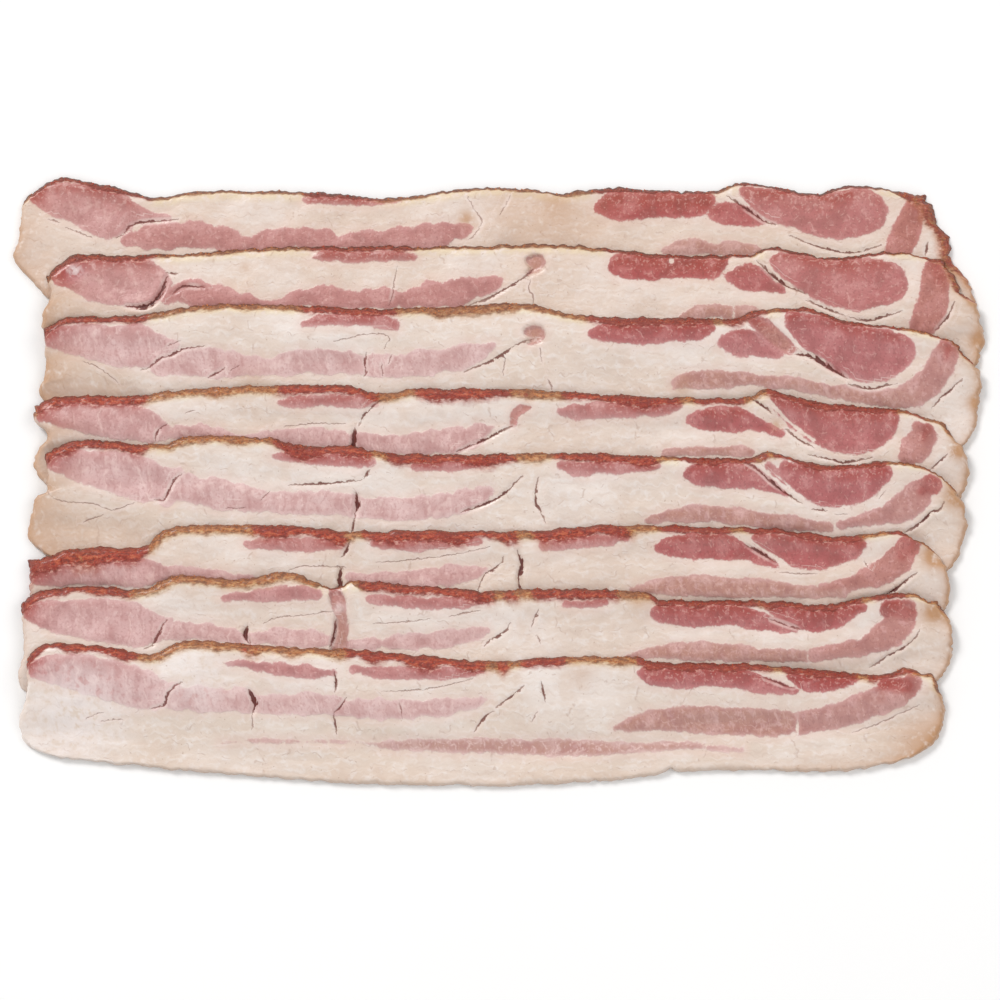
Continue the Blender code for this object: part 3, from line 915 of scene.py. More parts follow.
    def smoke(self):
        """Width and redness of the smoked edge along the slice, and its stains, one of which on the
        second slice is a painted highlight.
        """
        x = self.places[0, :, 0]
        near = (self.edge > 5) & (self.edge < 15)
        behind = np.where(near, self.lean, -20).max(axis=0)
        red = rise(behind, -2, 3)
        for start, end in self.piece.red:
            red = np.maximum(red, between(x, start, end, 5))
        for start, end in self.piece.gold:
            red = red * (1 - between(x, start, end, 5))
        red = blurred(red, 4)
        wander = swells(self.places[:1], 40, self.random)[0]
        width = self.piece.crust * (CRUST_OVER_FAT + CRUST_OVER_LEAN * red) * (1 + 0.25 * wander)
        for start, end, share in THINNER:
            width *= 1 - share * rise(x, start, end)
        for start, end, more in self.piece.wide:
            width += more * between(x, start, end, 8)
        right_end = rise(x, *RIGHT_END)
        self.char = np.broadcast_to(self.piece.char * (1 - 0.6 * right_end), self.edge.shape)
        self.red = np.broadcast_to(red * (1 - 0.45 * right_end), self.edge.shape)
        self.rind = self.smoked / np.maximum(width, 1)
        self.tan = 0.3 * fade(self.rim, 2.2) + 0.16 * fade(self.rim, 16)
        self.tan += self.piece.tab * bell(self.left, 34) * rise(self.edge, 12, 36)
        self.tan += 0.8 * fade(self.right, 5) * rise(self.edge, 6, 14)
        self.tan += 0.5 * self.piece.redness
        if self.piece is SLICE_8:
            reach = 5 + 15 * rise(self.places[..., 0], *TAN_WIDER)
            share = 0.25 + 0.4 * rise(self.places[..., 0], *TAN_STRONGER)
            self.tan = np.maximum(self.tan, share * fade(self.front, reach))
        for x, y, radius, strength in self.piece.stains_and_highlights:
            self.tan += strength * bell(away(self.places, x, y), radius)
        self.tan = np.clip(self.tan, -1, 1)

    def heights(self, underside, floor):
        """Undersides and tops of the sheet, laid on the given floor."""
        sizes = self.sizes
        under = underside - CLING * fade(self.edge, 9)
        lack = np.maximum(floor + sizes.clearance - under, 0)
        lift = lack
        for _ in range(SETTLING_PASSES):
            padded = np.pad(lift, 1, mode="edge")
            mean = (padded[:-2, 1:-1] + padded[2:, 1:-1] + padded[1:-1, :-2] + padded[1:-1, 2:]) / 4
            lift = np.maximum(mean, lack)
        under = np.maximum(under + lift, 0)
        back = rounded(self.smoked * PIXEL / sizes.edge_round, BACK_HEIGHT)
        rims = rounded(self.rim * PIXEL / sizes.rim_round, END_HEIGHT)
        inside = rise(np.minimum(self.rim, self.edge), 0, 8)
        swell = sizes.unevenness * swells(self.places, 60, self.random)
        swell += 0.3 * sizes.unevenness * swells(self.places, 18, self.random)
        crumbs = swells(self.places, 11, self.random) + 0.6 * swells(self.places, 7, self.random)
        crust = CRUST_GRAIN * crumbs * bell(self.rind, 0.9)
        crown = LEAN_SWELL * rise(self.lean, 0, 6) - LEAN_GROOVE * bell(self.lean, 2.2)
        body = sizes.thickness * back * rims
        top = under + body + inside * (swell + crown + self.relief - self.sunk) + crust
        return under, np.maximum(top, under + LEAST_THICKNESS)


# Laying the sheets


class Table:
    """Highest surface laid so far, on a raster over the table."""

    CELL = 0.0008
    MARGIN = 0.006
    EMPTY = -0.001

    def __init__(self):
        low, high = CAD_BOX
        self.corner = np.array([low.x, low.y]) - self.MARGIN
        far_corner = np.array([high.x, high.y]) + self.MARGIN
        columns, rows = np.ceil((far_corner - self.corner) / self.CELL)
        self.heights = np.full((int(rows), int(columns)), self.EMPTY)

    def cells(self, places):
        column, row = np.moveaxis(((places - self.corner) / self.CELL).astype(int), -1, 0)
        return (np.clip(row, 0, self.heights.shape[0] - 1),
                np.clip(column, 0, self.heights.shape[1] - 1))

    def under(self, places):
        padded = np.pad(self.heights, 1, mode="edge")
        rows, columns = self.heights.shape
        near = [padded[i:i + rows, j:j + columns] for i in range(3) for j in range(3)]
        return np.max(near, axis=0)[self.cells(places)]

    def add(self, places, tops):
        np.maximum.at(self.heights, self.cells(places), tops)


# Rays that find a solid's underside: how far inside its outline, and from which height
RAY_INSET = 0.004
RAY_START = -0.05


def solid_underside(node, piece, along, across):
    """Heights of the underside of a solid at parts of the slice's length and width."""
    mesh = node.data
    tree = BVHTree.FromPolygons([vertex.co for vertex in mesh.vertices],
                                [face.vertices for face in mesh.polygons])
    columns, rows = SOLID_CELLS
    inset = RAY_INSET * np.array([1, 3])
    grid = plan_of(piece, np.linspace(inset[0], 1 - inset[0], columns + 1),
                   np.linspace(inset[1], 1 - inset[1], rows + 1))
    coarse = np.zeros(grid.shape[:2])
    for place in np.ndindex(coarse.shape):
        x, y = to_metres(grid[place])
        hit = tree.ray_cast(Vector((x, y, RAY_START)), Vector((0, 0, 1)))[0]
        if hit is None:
            raise RuntimeError(f"{node.name} has no underside at {x:.4f}, {y:.4f}")
        coarse[place] = hit.z
    by_row = cubic(coarse, across * rows)
    return cubic(by_row.T, along * columns).T


def sheet_mesh(name, sheet, under, top):
    """A closed mesh of one slice: top, underside and a rounded rim between them."""
    rows, columns = under.shape
    plan = to_metres(sheet.places)
    number = np.arange(rows * columns).reshape(rows, columns)
    loop = np.concatenate([number[0], number[1:, -1], number[-1, -2::-1], number[-2:0:-1, 0]])
    flat = plan.reshape(-1, 2)
    ahead = np.roll(flat[loop], -1, axis=0) - np.roll(flat[loop], 1, axis=0)
    out = np.column_stack([-ahead[:, 1], ahead[:, 0]])
    out /= np.linalg.norm(out, axis=1)[:, None]
    middle = flat[loop] + RIM_BULGE * out
    half = (under.ravel()[loop] + top.ravel()[loop]) / 2
    points = np.vstack([np.column_stack([flat, top.ravel()]),
                        np.column_stack([flat, under.ravel()]),
                        np.column_stack([middle, half])])
    a, b = number[:-1, :-1].ravel(), number[:-1, 1:].ravel()
    c, d = number[1:, 1:].ravel(), number[1:, :-1].ravel()
    total = rows * columns
    ring = 2 * total + np.arange(len(loop))
    after = np.roll(ring, -1)
    following = np.roll(loop, -1)
    faces = np.vstack([
        np.column_stack([a, d, c, b]),
        np.column_stack([a, b, c, d]) + total,
        np.column_stack([loop, following, after, ring]),
        np.column_stack([ring, after, following + total, loop + total]),
    ])
    mesh = bpy.data.meshes.new(name)
    mesh.from_pydata(points.tolist(), [], faces.tolist())
    mesh.polygons.foreach_set("use_smooth", np.ones(len(faces), bool))
    fields = {"lean": sheet.lean, "tone": sheet.tone, "brown": sheet.brown,
              "cut_side": sheet.cut_side, "cut_half": sheet.cut_half, "cut_near": sheet.cut_near,
              "edge": sheet.smoked, "rind": sheet.rind, "red": sheet.red, "tan": sheet.tan,
              "char": sheet.char}
    for field, values in fields.items():
        values = values.ravel()
        below = np.zeros(total) if field == "cut_near" else values
        column = np.concatenate([values, below, values[loop]])
        layer = mesh.attributes.new(field, "FLOAT", "POINT")
        layer.data.foreach_set("value", column.astype(np.float32))
    add_bake_map(mesh, sheet, len(a), len(loop))
    return mesh


# Strips of the bake map: three for the top, one for the underside, one for the rim
TOP_STRIPS = 3
STRIP_HEIGHT = 0.275
STRIP_GAP = 0.008
UNDER_HEIGHT = 0.10
RIM_HEIGHT = 0.012


def inset(part):
    """A part of the map's width as a place between the gaps at its sides."""
    return STRIP_GAP + part * (1 - 2 * STRIP_GAP)


def add_bake_map(mesh, sheet, cells, rim_cells):
    """The sheet laid out flat in strips, so that each pixel of a baked map covers a small area."""
    row, column = np.divmod(np.arange(cells), COLUMNS)
    v = sheet.across[np.column_stack([row, row + 1, row + 1, row])]
    column = np.column_stack([column, column, column + 1, column + 1])
    strip_cells = COLUMNS / TOP_STRIPS
    strip = (column[:, :1] / strip_cells).astype(int)
    side = inset((column - strip * strip_cells) / strip_cells)
    base = STRIP_GAP + strip * (STRIP_HEIGHT + STRIP_GAP)
    top = np.stack([side, base + v * STRIP_HEIGHT], axis=-1)
    base = STRIP_GAP + TOP_STRIPS * (STRIP_HEIGHT + STRIP_GAP)
    under = np.stack([inset(column / COLUMNS), base + v * UNDER_HEIGHT], axis=-1)[:, [0, 3, 2, 1]]
    base += UNDER_HEIGHT + STRIP_GAP
    left = np.arange(rim_cells) / rim_cells
    right = left + 1 / rim_cells
    side = inset(np.column_stack([left, right, right, left]))
    upper_half = RIM_HEIGHT * np.array([0, 0, 1, 1])
    rims = [np.stack([side, np.broadcast_to(low + upper_half, side.shape)], axis=-1)
            for low in (base, base + RIM_HEIGHT + STRIP_GAP / 2)]
    layout = np.concatenate([top, under] + rims).reshape(-1, 2)
    layer = mesh.uv_layers.new(name="OFBake")
    layer.data.foreach_set("uv", layout.astype(np.float32).ravel())


# Node building


def plug(tree, socket, value):
    """Link another socket to this one, or set this one to a plain value."""
    if isinstance(value, bpy.types.NodeSocket):
        tree.links.new(value, socket)
    elif socket.type == "RGBA":
        socket.default_value = tuple(value)[:3] + (1.0,)
    else:
        socket.default_value = value


def add_node(tree, kind, inputs, **settings):
    """A new node with its settings, and with other sockets or plain values for its inputs."""
    node = tree.nodes.new(kind)
    for name, value in settings.items():
        setattr(node, name, value)
    for name, value in inputs.items():
        plug(tree, node.inputs[name], value)
    return node


class Value:
    """A shader output in an expression: arithmetic on it adds Math nodes."""

    def __init__(self, shader, socket):
        self.shader = shader
        self.socket = socket

    def __add__(self, other):
        return self.shader.math("ADD", self, other)

    def __sub__(self, other):
        return self.shader.math("SUBTRACT", self, other)

    def __mul__(self, other):
        return self.shader.math("MULTIPLY", self, other)

    def __rsub__(self, other):
        return self.shader.math("SUBTRACT", other, self)

    def __abs__(self):
        return self.shader.math("ABSOLUTE", self)

    __radd__ = __add__
    __rmul__ = __mul__


class Shader:
    """Nodes of one material, ending in a Principled BSDF."""

    def __init__(self, name):
        self.material = bpy.data.materials.new(name)
        self.material.use_nodes = True
        self.tree = self.material.node_tree
        self.surface = self.tree.nodes["Principled BSDF"]

    def add(self, kind, inputs, output=0, **settings):
        sockets = {name: getattr(value, "socket", value) for name, value in inputs.items()}
        return Value(self, add_node(self.tree, kind, sockets, **settings).outputs[output])

    def math(self, operation, first, second=0.0):
        return self.add("ShaderNodeMath", {0: first, 1: second}, operation=operation)

    def most(self, first, second):
        return self.math("MAXIMUM", first, second)

    def step(self, value, low, high):
        """Smooth step of a value from 0 at low to 1 at high, or back if high is below low."""
        inputs = {"Value": value, "From Min": low, "From Max": high}
        return self.add("ShaderNodeMapRange", inputs, interpolation_type="SMOOTHSTEP")

    def mix(self, factor, first, second):
        inputs = {0: factor, 6: first, 7: second}
        return self.add("ShaderNodeMix", inputs, output=2, data_type="RGBA")

    def attribute(self, name):
        return self.add("ShaderNodeAttribute", {}, output="Fac", attribute_name=name)

    def places(self):
        """Places on the piece in pixels of the plan, with heights folded in for the sides."""
        coordinate = self.add("ShaderNodeTexCoord", {}, output="Object")
        x = self.add("ShaderNodeSeparateXYZ", {"Vector": coordinate}, output="X")
        y, z = (Value(self, x.socket.node.outputs[name]) for name in ("Y", "Z"))
        flat = self.add("ShaderNodeCombineXYZ", {"X": x + 0.6 * z, "Y": y - 0.8 * z, "Z": 0.0})
        return self.squeezed(flat, (1 / PIXEL, 1 / PIXEL, 1))

    def squeezed(self, places, factors):
        return self.add("ShaderNodeVectorMath", {0: places, 1: factors}, operation="MULTIPLY")

    def shifted(self, places, reach, size):
        """Places pushed about by up to half of reach, in lumps of the given size."""
        inputs = {"Vector": places, "Scale": 1 / size, "Detail": 1.0}
        push = self.add("ShaderNodeTexNoise", inputs, output="Color", noise_dimensions="2D")
        return self.add("ShaderNodeVectorMath", {0: push, 1: (reach, reach, 0), 2: places},
                        operation="MULTIPLY_ADD")

    def noise(self, places, size, detail=2.0, roughness=0.55):
        """Noise from about 0 to 1 whose lumps measure about size pixels."""
        inputs = {"Vector": places, "Scale": 1 / size, "Detail": detail, "Roughness": roughness}
        return self.add("ShaderNodeTexNoise", inputs, noise_dimensions="2D", normalize=True)

    def cells(self, places, size, randomness=1.0):
        """Distance to the nearest cell wall, as a share of a cell."""
        inputs = {"Vector": places, "Scale": 1 / size, "Randomness": randomness}
        return self.add("ShaderNodeTexVoronoi", inputs, voronoi_dimensions="2D",
                        feature="DISTANCE_TO_EDGE")

    def coats(self, colour, rows):
        """A colour with others over it, each by its share where a field goes from low to high."""
        for field, low, high, share, coat in rows:
            colour = self.mix(self.step(field, low, high) * share, colour, coat)
        return colour

    def finished(self, inputs):
        """The material, with the given inputs of its surface."""
        for name, value in inputs.items():
            plug(self.tree, self.surface.inputs[name], getattr(value, "socket", value))
        return self.material


def slice_material(colours):
    """Fat, lean, marbling, slits and smoked edge, from the fields that the mesh carries."""
    s = Shader("bacon slice")
    lean, tone, brown = s.attribute("lean"), s.attribute("tone"), s.attribute("brown")
    edge, rind, red, tan = (s.attribute(name) for name in ("edge", "rind", "red", "tan"))
    char = s.attribute("char")
    places = s.places()
    broad = s.noise(places, 90, detail=0)
    patchy = s.noise(places, 24, detail=1)
    lumps = s.noise(places, 8.5, detail=2, roughness=0.62)
    grain = s.noise(places, 2.8, detail=1, roughness=0.65)
    bits = s.noise(s.squeezed(places, (0.6, 1.2, 1)), 4.2, detail=2, roughness=0.7)

    border = lean + 5 * (lumps - 0.5) + 1.6 * (grain - 0.5) + 6 * (patchy - 0.5)
    is_lean = s.step(border, -1.1, 1.1)
    bent = s.shifted(places, 9, 9)
    fibres = s.noise(s.squeezed(bent, (0.14, 1, 1)), 3.6, detail=1)

    # Lean
    meat = s.mix(tone, colours.lean_pale, colours.lean_deep)
    meat = s.mix(0.9 * brown, meat, colours.lean_brown)
    near_smoke = s.step(edge, 8 + 20 * tone, 4) * red
    meat = s.mix(s.step(edge, 34, 6) * red * 0.4, meat, tint(178, 92, 86))
    meat = s.mix(0.8 * near_smoke, meat, tint(156, 56, 46))
    light = s.mix(tone, tint(238, 212, 209), tint(202, 132, 130))
    dark = s.mix(tone, tint(190, 138, 136), tint(128, 56, 54))
    stripes = s.noise(s.squeezed(bent, (1, 0.3, 1)), 6, detail=1, roughness=0.6)
    pale_meat = s.step(tone, 0.75, 0.3)
    meat = s.coats(meat, (
        (lumps, 0.5, 0.8, 0.6, light),
        (patchy, 0.5, 0.25, 0.4, dark),
        (patchy, 0.5, 0.75, 0.4, light),
        (grain, 0.5, 0.25, 0.4, dark),
    ))
    meat = s.mix(s.step(stripes, 0.5, 0.3) * pale_meat * 0.36, meat, dark)
    meat = s.mix(s.step(border, 4, 0) * 0.35, meat, light)

    # Marbling: broken threads, ribs between the bundles of the belly, and pale flecks that are
    # partly fat and partly painted moist highlights
    threads = s.step(s.cells(bent, 19), 0.045, 0.0) * s.step(lumps, 0.5, 0.64)
    ribs = s.cells(s.squeezed(bent, (1, 0.25, 1)), 25, randomness=0.7)
    ribs = s.step(ribs, 0.06, 0.0) * pale_meat * s.step(lumps, 0.38, 0.58)
    specks = s.noise(places, 3.4, detail=1, roughness=0.7)
    # pale flecks in the lean: fat flecks, and painted moist highlights
    flecks = s.step(specks + 0.12 * near_smoke + 0.14 * (patchy - 0.5), 0.66, 0.8)
    net = s.step(s.cells(bent, 11), 0.13, 0.0) * s.step(brown, 0.5, 0.85) * s.step(bits, 0.4, 0.6)
    net = net * (0.35 + 0.3 * s.step(tone, 0.3, 0.15))
    marbling = s.most(s.most(0.4 * threads, 0.5 * ribs), s.most(0.4 * flecks, net))
    marbled = s.mix(tone, tint(236, 208, 202), tint(222, 170, 160))
    meat = s.mix(marbling * s.step(border, 0, 4), meat, marbled)

    # Fat
    fat = s.mix(s.step(broad, 0.4, 0.62), colours.fat, colours.fat_cool)
    fat = s.coats(fat, (
        # painted shade: the fat turns darker and tanner from 25 to 75 pixels in from the smoked
        # edge, towards where the next slice lies over it
        (edge, 25, 75, 0.45, tint(221, 201, 184)),
        (patchy, 0.5, 0.78, 0.45, tint(223, 201, 185)),
        (lumps, 0.5, 0.8, 0.5, tint(242, 235, 232)),
        (fibres, 0.5, 0.74, 0.35, tint(242, 234, 230)),
        (fibres, 0.46, 0.22, 0.25, tint(208, 184, 170)),
        (border, -11, -1, 0.3, tint(230, 198, 188)),
    ))
    creamy = s.step(edge, 13, 4) * (1 - red) * s.step(lumps, 0.25, 0.6)
    fat = s.mix(0.6 * creamy, fat, colours.fat_cream)
    fat = s.mix(0.5 * s.step(specks, 0.26, 0.14), fat, tint(172, 138, 116))
    seams = s.step(s.cells(s.squeezed(bent, (0.35, 1, 1)), 26), 0.03, 0.0)
    fat = s.mix(seams * s.step(lumps, 0.5, 0.64) * 0.5, fat, tint(188, 158, 140))

    colour = s.mix(is_lean, fat, meat)
    browned = s.most(tan, 0) * s.step(lumps, 0.0, 0.5) * (1 - 0.6 * is_lean)
    colour = s.mix(browned, colour, tint(190, 144, 106))
    # whitish where tan is negative: whiter fat, and a painted highlight on the second slice's eye
    colour = s.mix(s.most(0 - tan, 0) * s.step(lumps, 0.3, 0.5), colour, tint(242, 232, 230))

    # Smoked edge: bark with painted highlights, the stain below it, painted glints, and a broken
    # dark line outside
    depth = rind + 0.6 * (lumps - 0.5) + 0.6 * (bits - 0.5) + 0.5 * (patchy - 0.5)
    stain = s.mix(red, tint(210, 158, 104), tint(160, 62, 50))
    colour = s.mix(s.step(depth, 1.8, 0.8) * (0.5 + 0.3 * red), colour, stain)
    soft = 0.15 * (1 - red)
    is_rind = s.step(depth, 1.2 + soft, 0.8 - soft)
    redder = s.step(red + 1.2 * (lumps - 0.5), 0.3, 0.7)
    bark = s.mix(redder, colours.edge_gold, colours.edge_red)
    for field, low, high, share, golden, reddish in (
            (patchy, 0.42, 0.66, 0.6, tint(160, 98, 56), tint(184, 72, 40)),
            (bits, 0.52, 0.36, 0.75, tint(104, 58, 32), tint(106, 34, 22)),
            # painted highlights: pale yellow bits over golden bark and pale orange bits over red
            # bark
            (bits, 0.53, 0.68, 0.65, tint(218, 170, 112), tint(210, 112, 72)),
            (patchy, 0.5, 0.32, 0.45, tint(138, 84, 50), tint(136, 40, 28))):
        spots = s.step(field, low, high) * share
        bark = s.mix(spots, bark, s.mix(redder, golden, reddish))
    bark = s.mix(s.step(rind, 0.55, 0.0) * 0.5, bark, tint(112, 52, 34))
    bark = s.mix(0.5 * s.step(tone, 0.62, 0.76) * redder, bark, tint(140, 56, 44))
    bark = s.mix(char, bark, tint(104, 54, 42))
    # painted highlights: sparse pale sparkle over the bark
    bark = s.mix(0.16 * s.step(specks, 0.62, 0.76), bark, tint(232, 184, 156))
    colour = s.mix(is_rind * 0.94, colour, bark)
    glints = s.step(bits, 0.54, 0.68) * s.step(abs(depth - 1.2), 0.42, 0.1) * red
    colour = s.mix(0.45 * glints, colour, tint(236, 186, 170))
    outline = s.step(edge + 4 * (bits - 0.5) + 2 * (grain - 0.5), 1.5, 0.0)
    colour = s.mix(outline * (0.2 + 0.15 * red + 0.9 * char), colour, colours.edge_dark)

    # Slits, cracks and tears, with a painted highlight on their lips and painted shade inside them
    side, half, near = (s.attribute(name) for name in ("cut_side", "cut_half", "cut_near"))
    # painted highlight: pale lips along the cuts, where their raised edges catch the light
    lip_highlight = s.step(abs(side) - half, 3.6, 1.4) * s.step(patchy, 0.35, 0.6)
    colour = s.mix(0.4 * lip_highlight * (1 - is_rind), colour, tint(238, 218, 210))
    gap = abs(side + 3.2 * (lumps - 0.5) + 1.8 * (grain - 0.5)) - half * (3.6 * lumps - 0.85)
    is_cut = s.step(gap, 0.5, -0.4) * s.step(near, 0.35, 0.75)
    wide = s.step(half, 0.4, 1.2)
    # inside the cuts: painted shade, brown over fat and over the redder meat that a cut bares in
    # lean, darkest in the core of the wide ones
    opening = s.mix(is_lean, tint(140, 90, 70), tint(138, 60, 50))
    opening = s.mix(wide * s.step(gap, 0.1, -0.8), opening, colours.opening)
    colour = s.mix(is_cut * (0.65 + 0.33 * wide), colour, opening)

    rough = 0.45 - 0.07 * is_lean + 0.2 * is_rind + 0.2 * (lumps - 0.5)
    height = 0.3 * grain + 0.6 * lumps + 0.35 * fibres + is_rind * (1.8 * bits + grain)
    height = height + 0.35 * is_lean - 0.6 * is_cut
    bump = s.add("ShaderNodeBump", {"Strength": 0.8, "Distance": 0.00025, "Height": height})
    return s.finished({"Base Color": colour, "Roughness": rough, "Normal": bump,
                       "Coat Weight": 0.3, "Coat Roughness": 0.22})


def crumb_material(colours):
    """Crumbs of the smoked edge, golden over fat and red over lean."""
    s = Shader("smoked crumb")
    places = s.places()
    lumps = s.noise(places, 6)
    bark = s.mix(s.attribute("red"), colours.edge_gold, colours.edge_red)
    bark = s.mix(s.step(lumps, 0.45, 0.7) * 0.6, bark, tint(208, 128, 84))
    bark = s.mix(s.step(lumps, 0.45, 0.28) * 0.6, bark, tint(96, 42, 28))
    grain = s.noise(places, 1.2)
    bump = s.add("ShaderNodeBump", {"Strength": 0.4, "Distance": 0.0001, "Height": grain})
    return s.finished({"Base Color": bark, "Roughness": 0.5 + 0.2 * lumps, "Normal": bump})


def floor_material():
    s = Shader("floor")
    paint = s.mix(s.noise(s.places(), 400), tint(250, 250, 250), tint(252, 252, 252))
    return s.finished({"Base Color": paint, "Roughness": 0.9, "Specular IOR Level": 0.1})


# Operators

# Crumbs: the least radius, and how far round the edge and down the crust they lie
LEAST_CRUMB = 0.00007
CRUMB_SLOPE = -0.2
CRUMB_REACH = 0.8

# Lights as name, place, size and power
LIGHTS = (
    ("key light", (-1.6, 2.0, 2.3), 1.0, 68.0),
    ("fill light", (2.0, 0.6, 2.2), 1.6, 18.0),
    ("front light", (0.2, -2.4, 2.0), 2.0, 10.0),
)
LIGHT_COLOUR = (1.0, 0.99, 0.98)
SKY_STRENGTH = 0.5
FLOOR_REACH = 6.0


def shown_object(name, mesh):
    obj = bpy.data.objects.new(name, mesh)
    bpy.context.scene.collection.objects.link(obj)
    return obj


class BACON_OT_lay_slices(bpy.types.Operator):
    """Lay the eight slices, each on the one before, over their solids"""

    bl_idname = "bacon.lay_slices"
    bl_label = "Lay Slices"

    def execute(self, context):
        sizes = context.scene.bacon_sizes
        material = slice_material(context.scene.bacon_colours)
        table = Table()
        for index, piece in enumerate(SLICES):
            node = f"slice_{index + 1}"
            sheet = Sheet(index, sizes)
            solid = frame["nodes"][node]
            underside = solid_underside(solid, piece, sheet.along, sheet.across)
            plan = to_metres(sheet.places)
            under, top = sheet.heights(underside, table.under(plan))
            table.add(plan, top)
            mesh = sheet_mesh(f"bacon_{node}", sheet, under, top)
            mesh.materials.append(material)
            obj = shown_object(f"bacon_{node}", mesh)
            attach(obj, "root")
            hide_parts(node)
        return {"FINISHED"}


def crumb_tree(sizes, material):
    """Geometry Nodes that scatter small flattened crumbs over a surface."""
    tree = bpy.data.node_groups.new("smoked crumbs", "GeometryNodeTree")
    sockets = tree.interface
    sockets.new_socket("Geometry", in_out="INPUT", socket_type="NodeSocketGeometry")
    values = {}
    for name, kind, value in (("Density", "NodeSocketFloat", sizes.crumb_density),
                              ("Largest Radius", "NodeSocketFloat", sizes.crumb_size),
                              ("Seed", "NodeSocketInt", sizes.seed)):
        socket = sockets.new_socket(name, in_out="INPUT", socket_type=kind)
        socket.default_value = value
        values[socket.identifier] = value
    sockets.new_socket("Geometry", in_out="OUTPUT", socket_type="NodeSocketGeometry")

    def add(kind, inputs, output=0, **settings):
        return add_node(tree, kind, inputs, **settings).outputs[output]

    def draw(kind, limits, output=0):
        inputs = {**limits, "Seed": start["Seed"]}
        return add("FunctionNodeRandomValue", inputs, output, data_type=kind)

    start = tree.nodes.new("NodeGroupInput").outputs
    points = add("GeometryNodeDistributePointsOnFaces",
                 {"Mesh": start["Geometry"], "Density": start["Density"], "Seed": start["Seed"]})
    crumb = add("GeometryNodeMeshIcoSphere", {"Radius": 1.0, "Subdivisions": 1})
    share = draw("FLOAT", {2: 0.25, 3: 1.0}, output=1)
    share = add("ShaderNodeMath", {0: share, 1: 2.2}, operation="POWER")
    radius = add("ShaderNodeMath", {0: share, 1: start["Largest Radius"]}, operation="MULTIPLY")
    radius = add("ShaderNodeMath", {0: radius, 1: LEAST_CRUMB}, operation="ADD")
    turn = draw("FLOAT_VECTOR", {0: (0, 0, 0), 1: (6.283, 6.283, 6.283)})
    shape = draw("FLOAT_VECTOR", {0: (0.7, 0.6, 0.45), 1: (1.5, 1.2, 0.9)})
    size = add("ShaderNodeVectorMath", {0: shape, "Scale": radius}, operation="SCALE")
    placed = add("GeometryNodeInstanceOnPoints",
                 {"Points": points, "Instance": crumb, "Rotation": turn, "Scale": size})
    real = add("GeometryNodeRealizeInstances", {"Geometry": placed})
    dressed = add("GeometryNodeSetMaterial", {"Geometry": real, "Material": material})
    tree.links.new(dressed, tree.nodes.new("NodeGroupOutput").inputs[0])
    return tree, values


def read(items, name, width=1, kind=np.float32):
    """A property of all vertices, faces or the like of a mesh, as one flat array."""
    values = np.empty(len(items) * width, kind)
    items.foreach_get(name, values)
    return values


def crust_faces(mesh):
    """Points, faces and redness of the part of a slice that the smoked edge covers."""
    rind, red = (read(mesh.attributes[name].data, "value") for name in ("rind", "red"))
    corners = read(mesh.loops, "vertex_index", kind=np.int32).reshape(-1, 4)
    up = read(mesh.polygons, "normal", 3).reshape(-1, 3)[:, 2] > CRUMB_SLOPE
    kept = corners[up & (rind[corners].max(axis=1) < CRUMB_REACH)]
    used, faces = np.unique(kept, return_inverse=True)
    return read(mesh.vertices, "co", 3).reshape(-1, 3)[used], faces.reshape(-1, 4), red[used]


class BACON_OT_scatter_crumbs(bpy.types.Operator):
    """Scatter crumbs of smoke and spice along the smoked edges of the slices"""

    bl_idname = "bacon.scatter_crumbs"
    bl_label = "Scatter Crumbs"

    def execute(self, context):
        points, faces, red = zip(*(crust_faces(bpy.data.objects[f"bacon_slice_{number}"].data)
                                   for number in range(1, len(SLICES) + 1)))
        starts = np.cumsum([0] + [len(part) for part in points])
        faces = [part + start for part, start in zip(faces, starts)]
        source = bpy.data.meshes.new("smoked_edge")
        source.from_pydata(np.vstack(points).tolist(), [], np.vstack(faces).tolist())
        layer = source.attributes.new("red", "FLOAT", "POINT")
        layer.data.foreach_set("value", np.concatenate(red))
        obj = shown_object("smoked_crumbs", source)
        material = crumb_material(context.scene.bacon_colours)
        tree, values = crumb_tree(context.scene.bacon_sizes, material)
        modifier = obj.modifiers.new("crumbs", "NODES")
        modifier.node_group = tree
        for identifier, value in values.items():
            modifier[identifier] = value
        graph = context.evaluated_depsgraph_get()
        made = bpy.data.meshes.new_from_object(obj.evaluated_get(graph))
        obj.modifiers.remove(modifier)
        obj.data = made
        if not made.polygons:
            raise RuntimeError("no crumbs were scattered")
        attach(obj, "root")
        return {"FINISHED"}


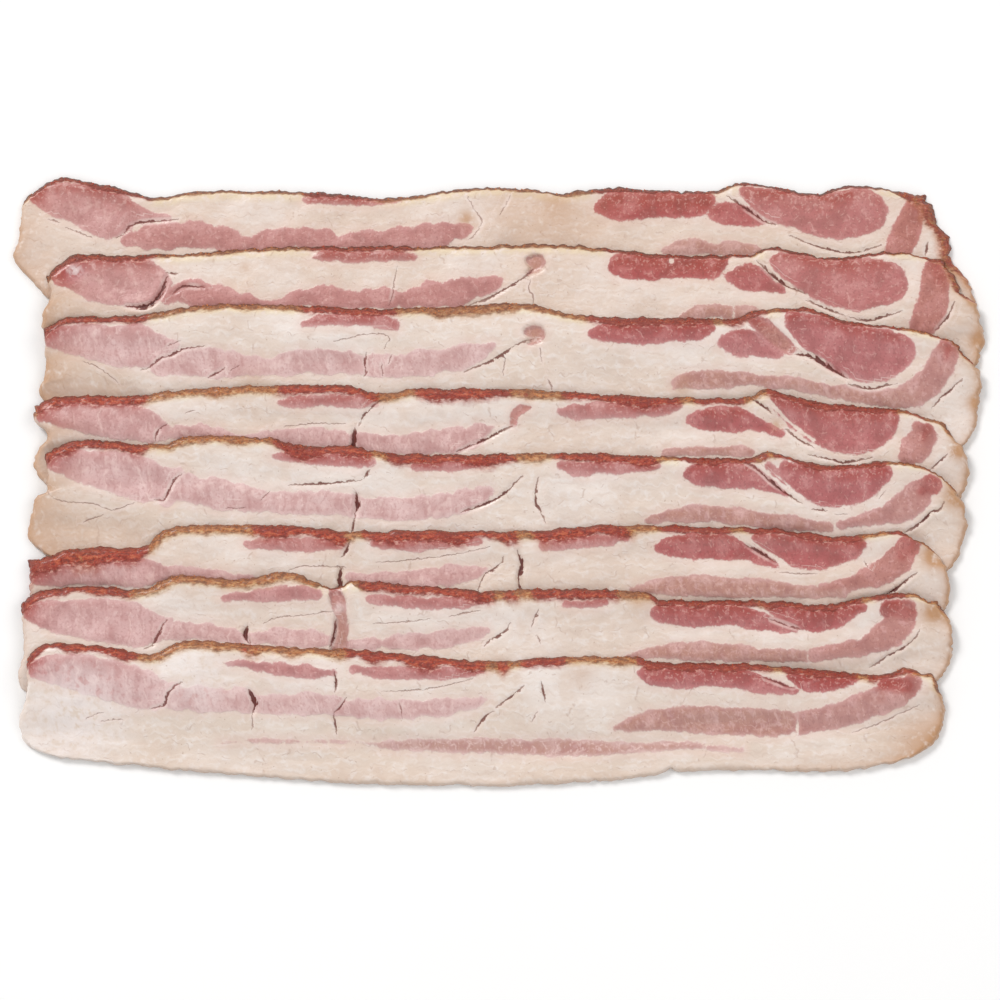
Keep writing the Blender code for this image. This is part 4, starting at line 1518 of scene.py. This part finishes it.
class BACON_OT_set_stage(bpy.types.Operator):
    """Add the pale floor, the soft lights and the camera straight above"""

    bl_idname = "bacon.set_stage"
    bl_label = "Set Stage"

    def execute(self, context):
        scene = context.scene
        floor = bpy.data.meshes.new("floor")
        corners = FLOOR_REACH * np.array([(-1, -1, 0), (1, -1, 0), (1, 1, 0), (-1, 1, 0)])
        floor.from_pydata(corners.tolist(), [], [(0, 1, 2, 3)])
        floor.materials.append(floor_material())
        shown_object("floor", floor)

        for name, place, width, power in LIGHTS:
            lamp = bpy.data.lights.new(name, "AREA")
            lamp.size = width
            lamp.energy = power
            lamp.color = LIGHT_COLOUR
            light = shown_object(name, lamp)
            light.location = place
            light.rotation_euler = (-Vector(place)).to_track_quat("-Z", "Y").to_euler()

        world = scene.world or bpy.data.worlds.new("studio")
        scene.world = world
        world.use_nodes = True
        sky = world.node_tree.nodes["Background"]
        sky.inputs["Color"].default_value = (1.0, 1.0, 1.0, 1.0)
        sky.inputs["Strength"].default_value = SKY_STRENGTH

        lens = bpy.data.cameras.new("overhead")
        lens.lens = LENS
        lens.sensor_width = SENSOR
        camera = shown_object("overhead", lens)
        x, y = to_metres(np.array(PHOTO_CENTRE))
        camera.location = (x, y, PHOTO_SIDE * PIXEL * LENS / SENSOR)
        lens.clip_end = 10.0
        scene.camera = camera
        scene.view_settings.view_transform = "Standard"
        return {"FINISHED"}


class BACON_PT_maker(bpy.types.Panel):
    """Sizes, colours and steps of the sliced bacon"""

    bl_idname = "BACON_PT_maker"
    bl_label = "Sliced Bacon"
    bl_space_type = "VIEW_3D"
    bl_region_type = "UI"
    bl_category = "Bacon"

    def draw(self, context):
        for group in (context.scene.bacon_sizes, context.scene.bacon_colours):
            column = self.layout.column()
            for name in group.__annotations__:
                column.prop(group, name)
        for step in STEPS:
            self.layout.operator(step.bl_idname)


STEPS = (BACON_OT_lay_slices, BACON_OT_scatter_crumbs, BACON_OT_set_stage)
CLASSES = (BaconSizes, BaconColours) + STEPS + (BACON_PT_maker,)


def register():
    for part in CLASSES:
        bpy.utils.register_class(part)
    bpy.types.Scene.bacon_sizes = PointerProperty(type=BaconSizes)
    bpy.types.Scene.bacon_colours = PointerProperty(type=BaconColours)


def unregister():
    del bpy.types.Scene.bacon_colours
    del bpy.types.Scene.bacon_sizes
    for part in reversed(CLASSES):
        bpy.utils.unregister_class(part)


def main():
    register()
    bpy.ops.bacon.lay_slices()
    bpy.ops.bacon.scatter_crumbs()
    bpy.ops.bacon.set_stage()


if __name__ == "__main__":
    main()
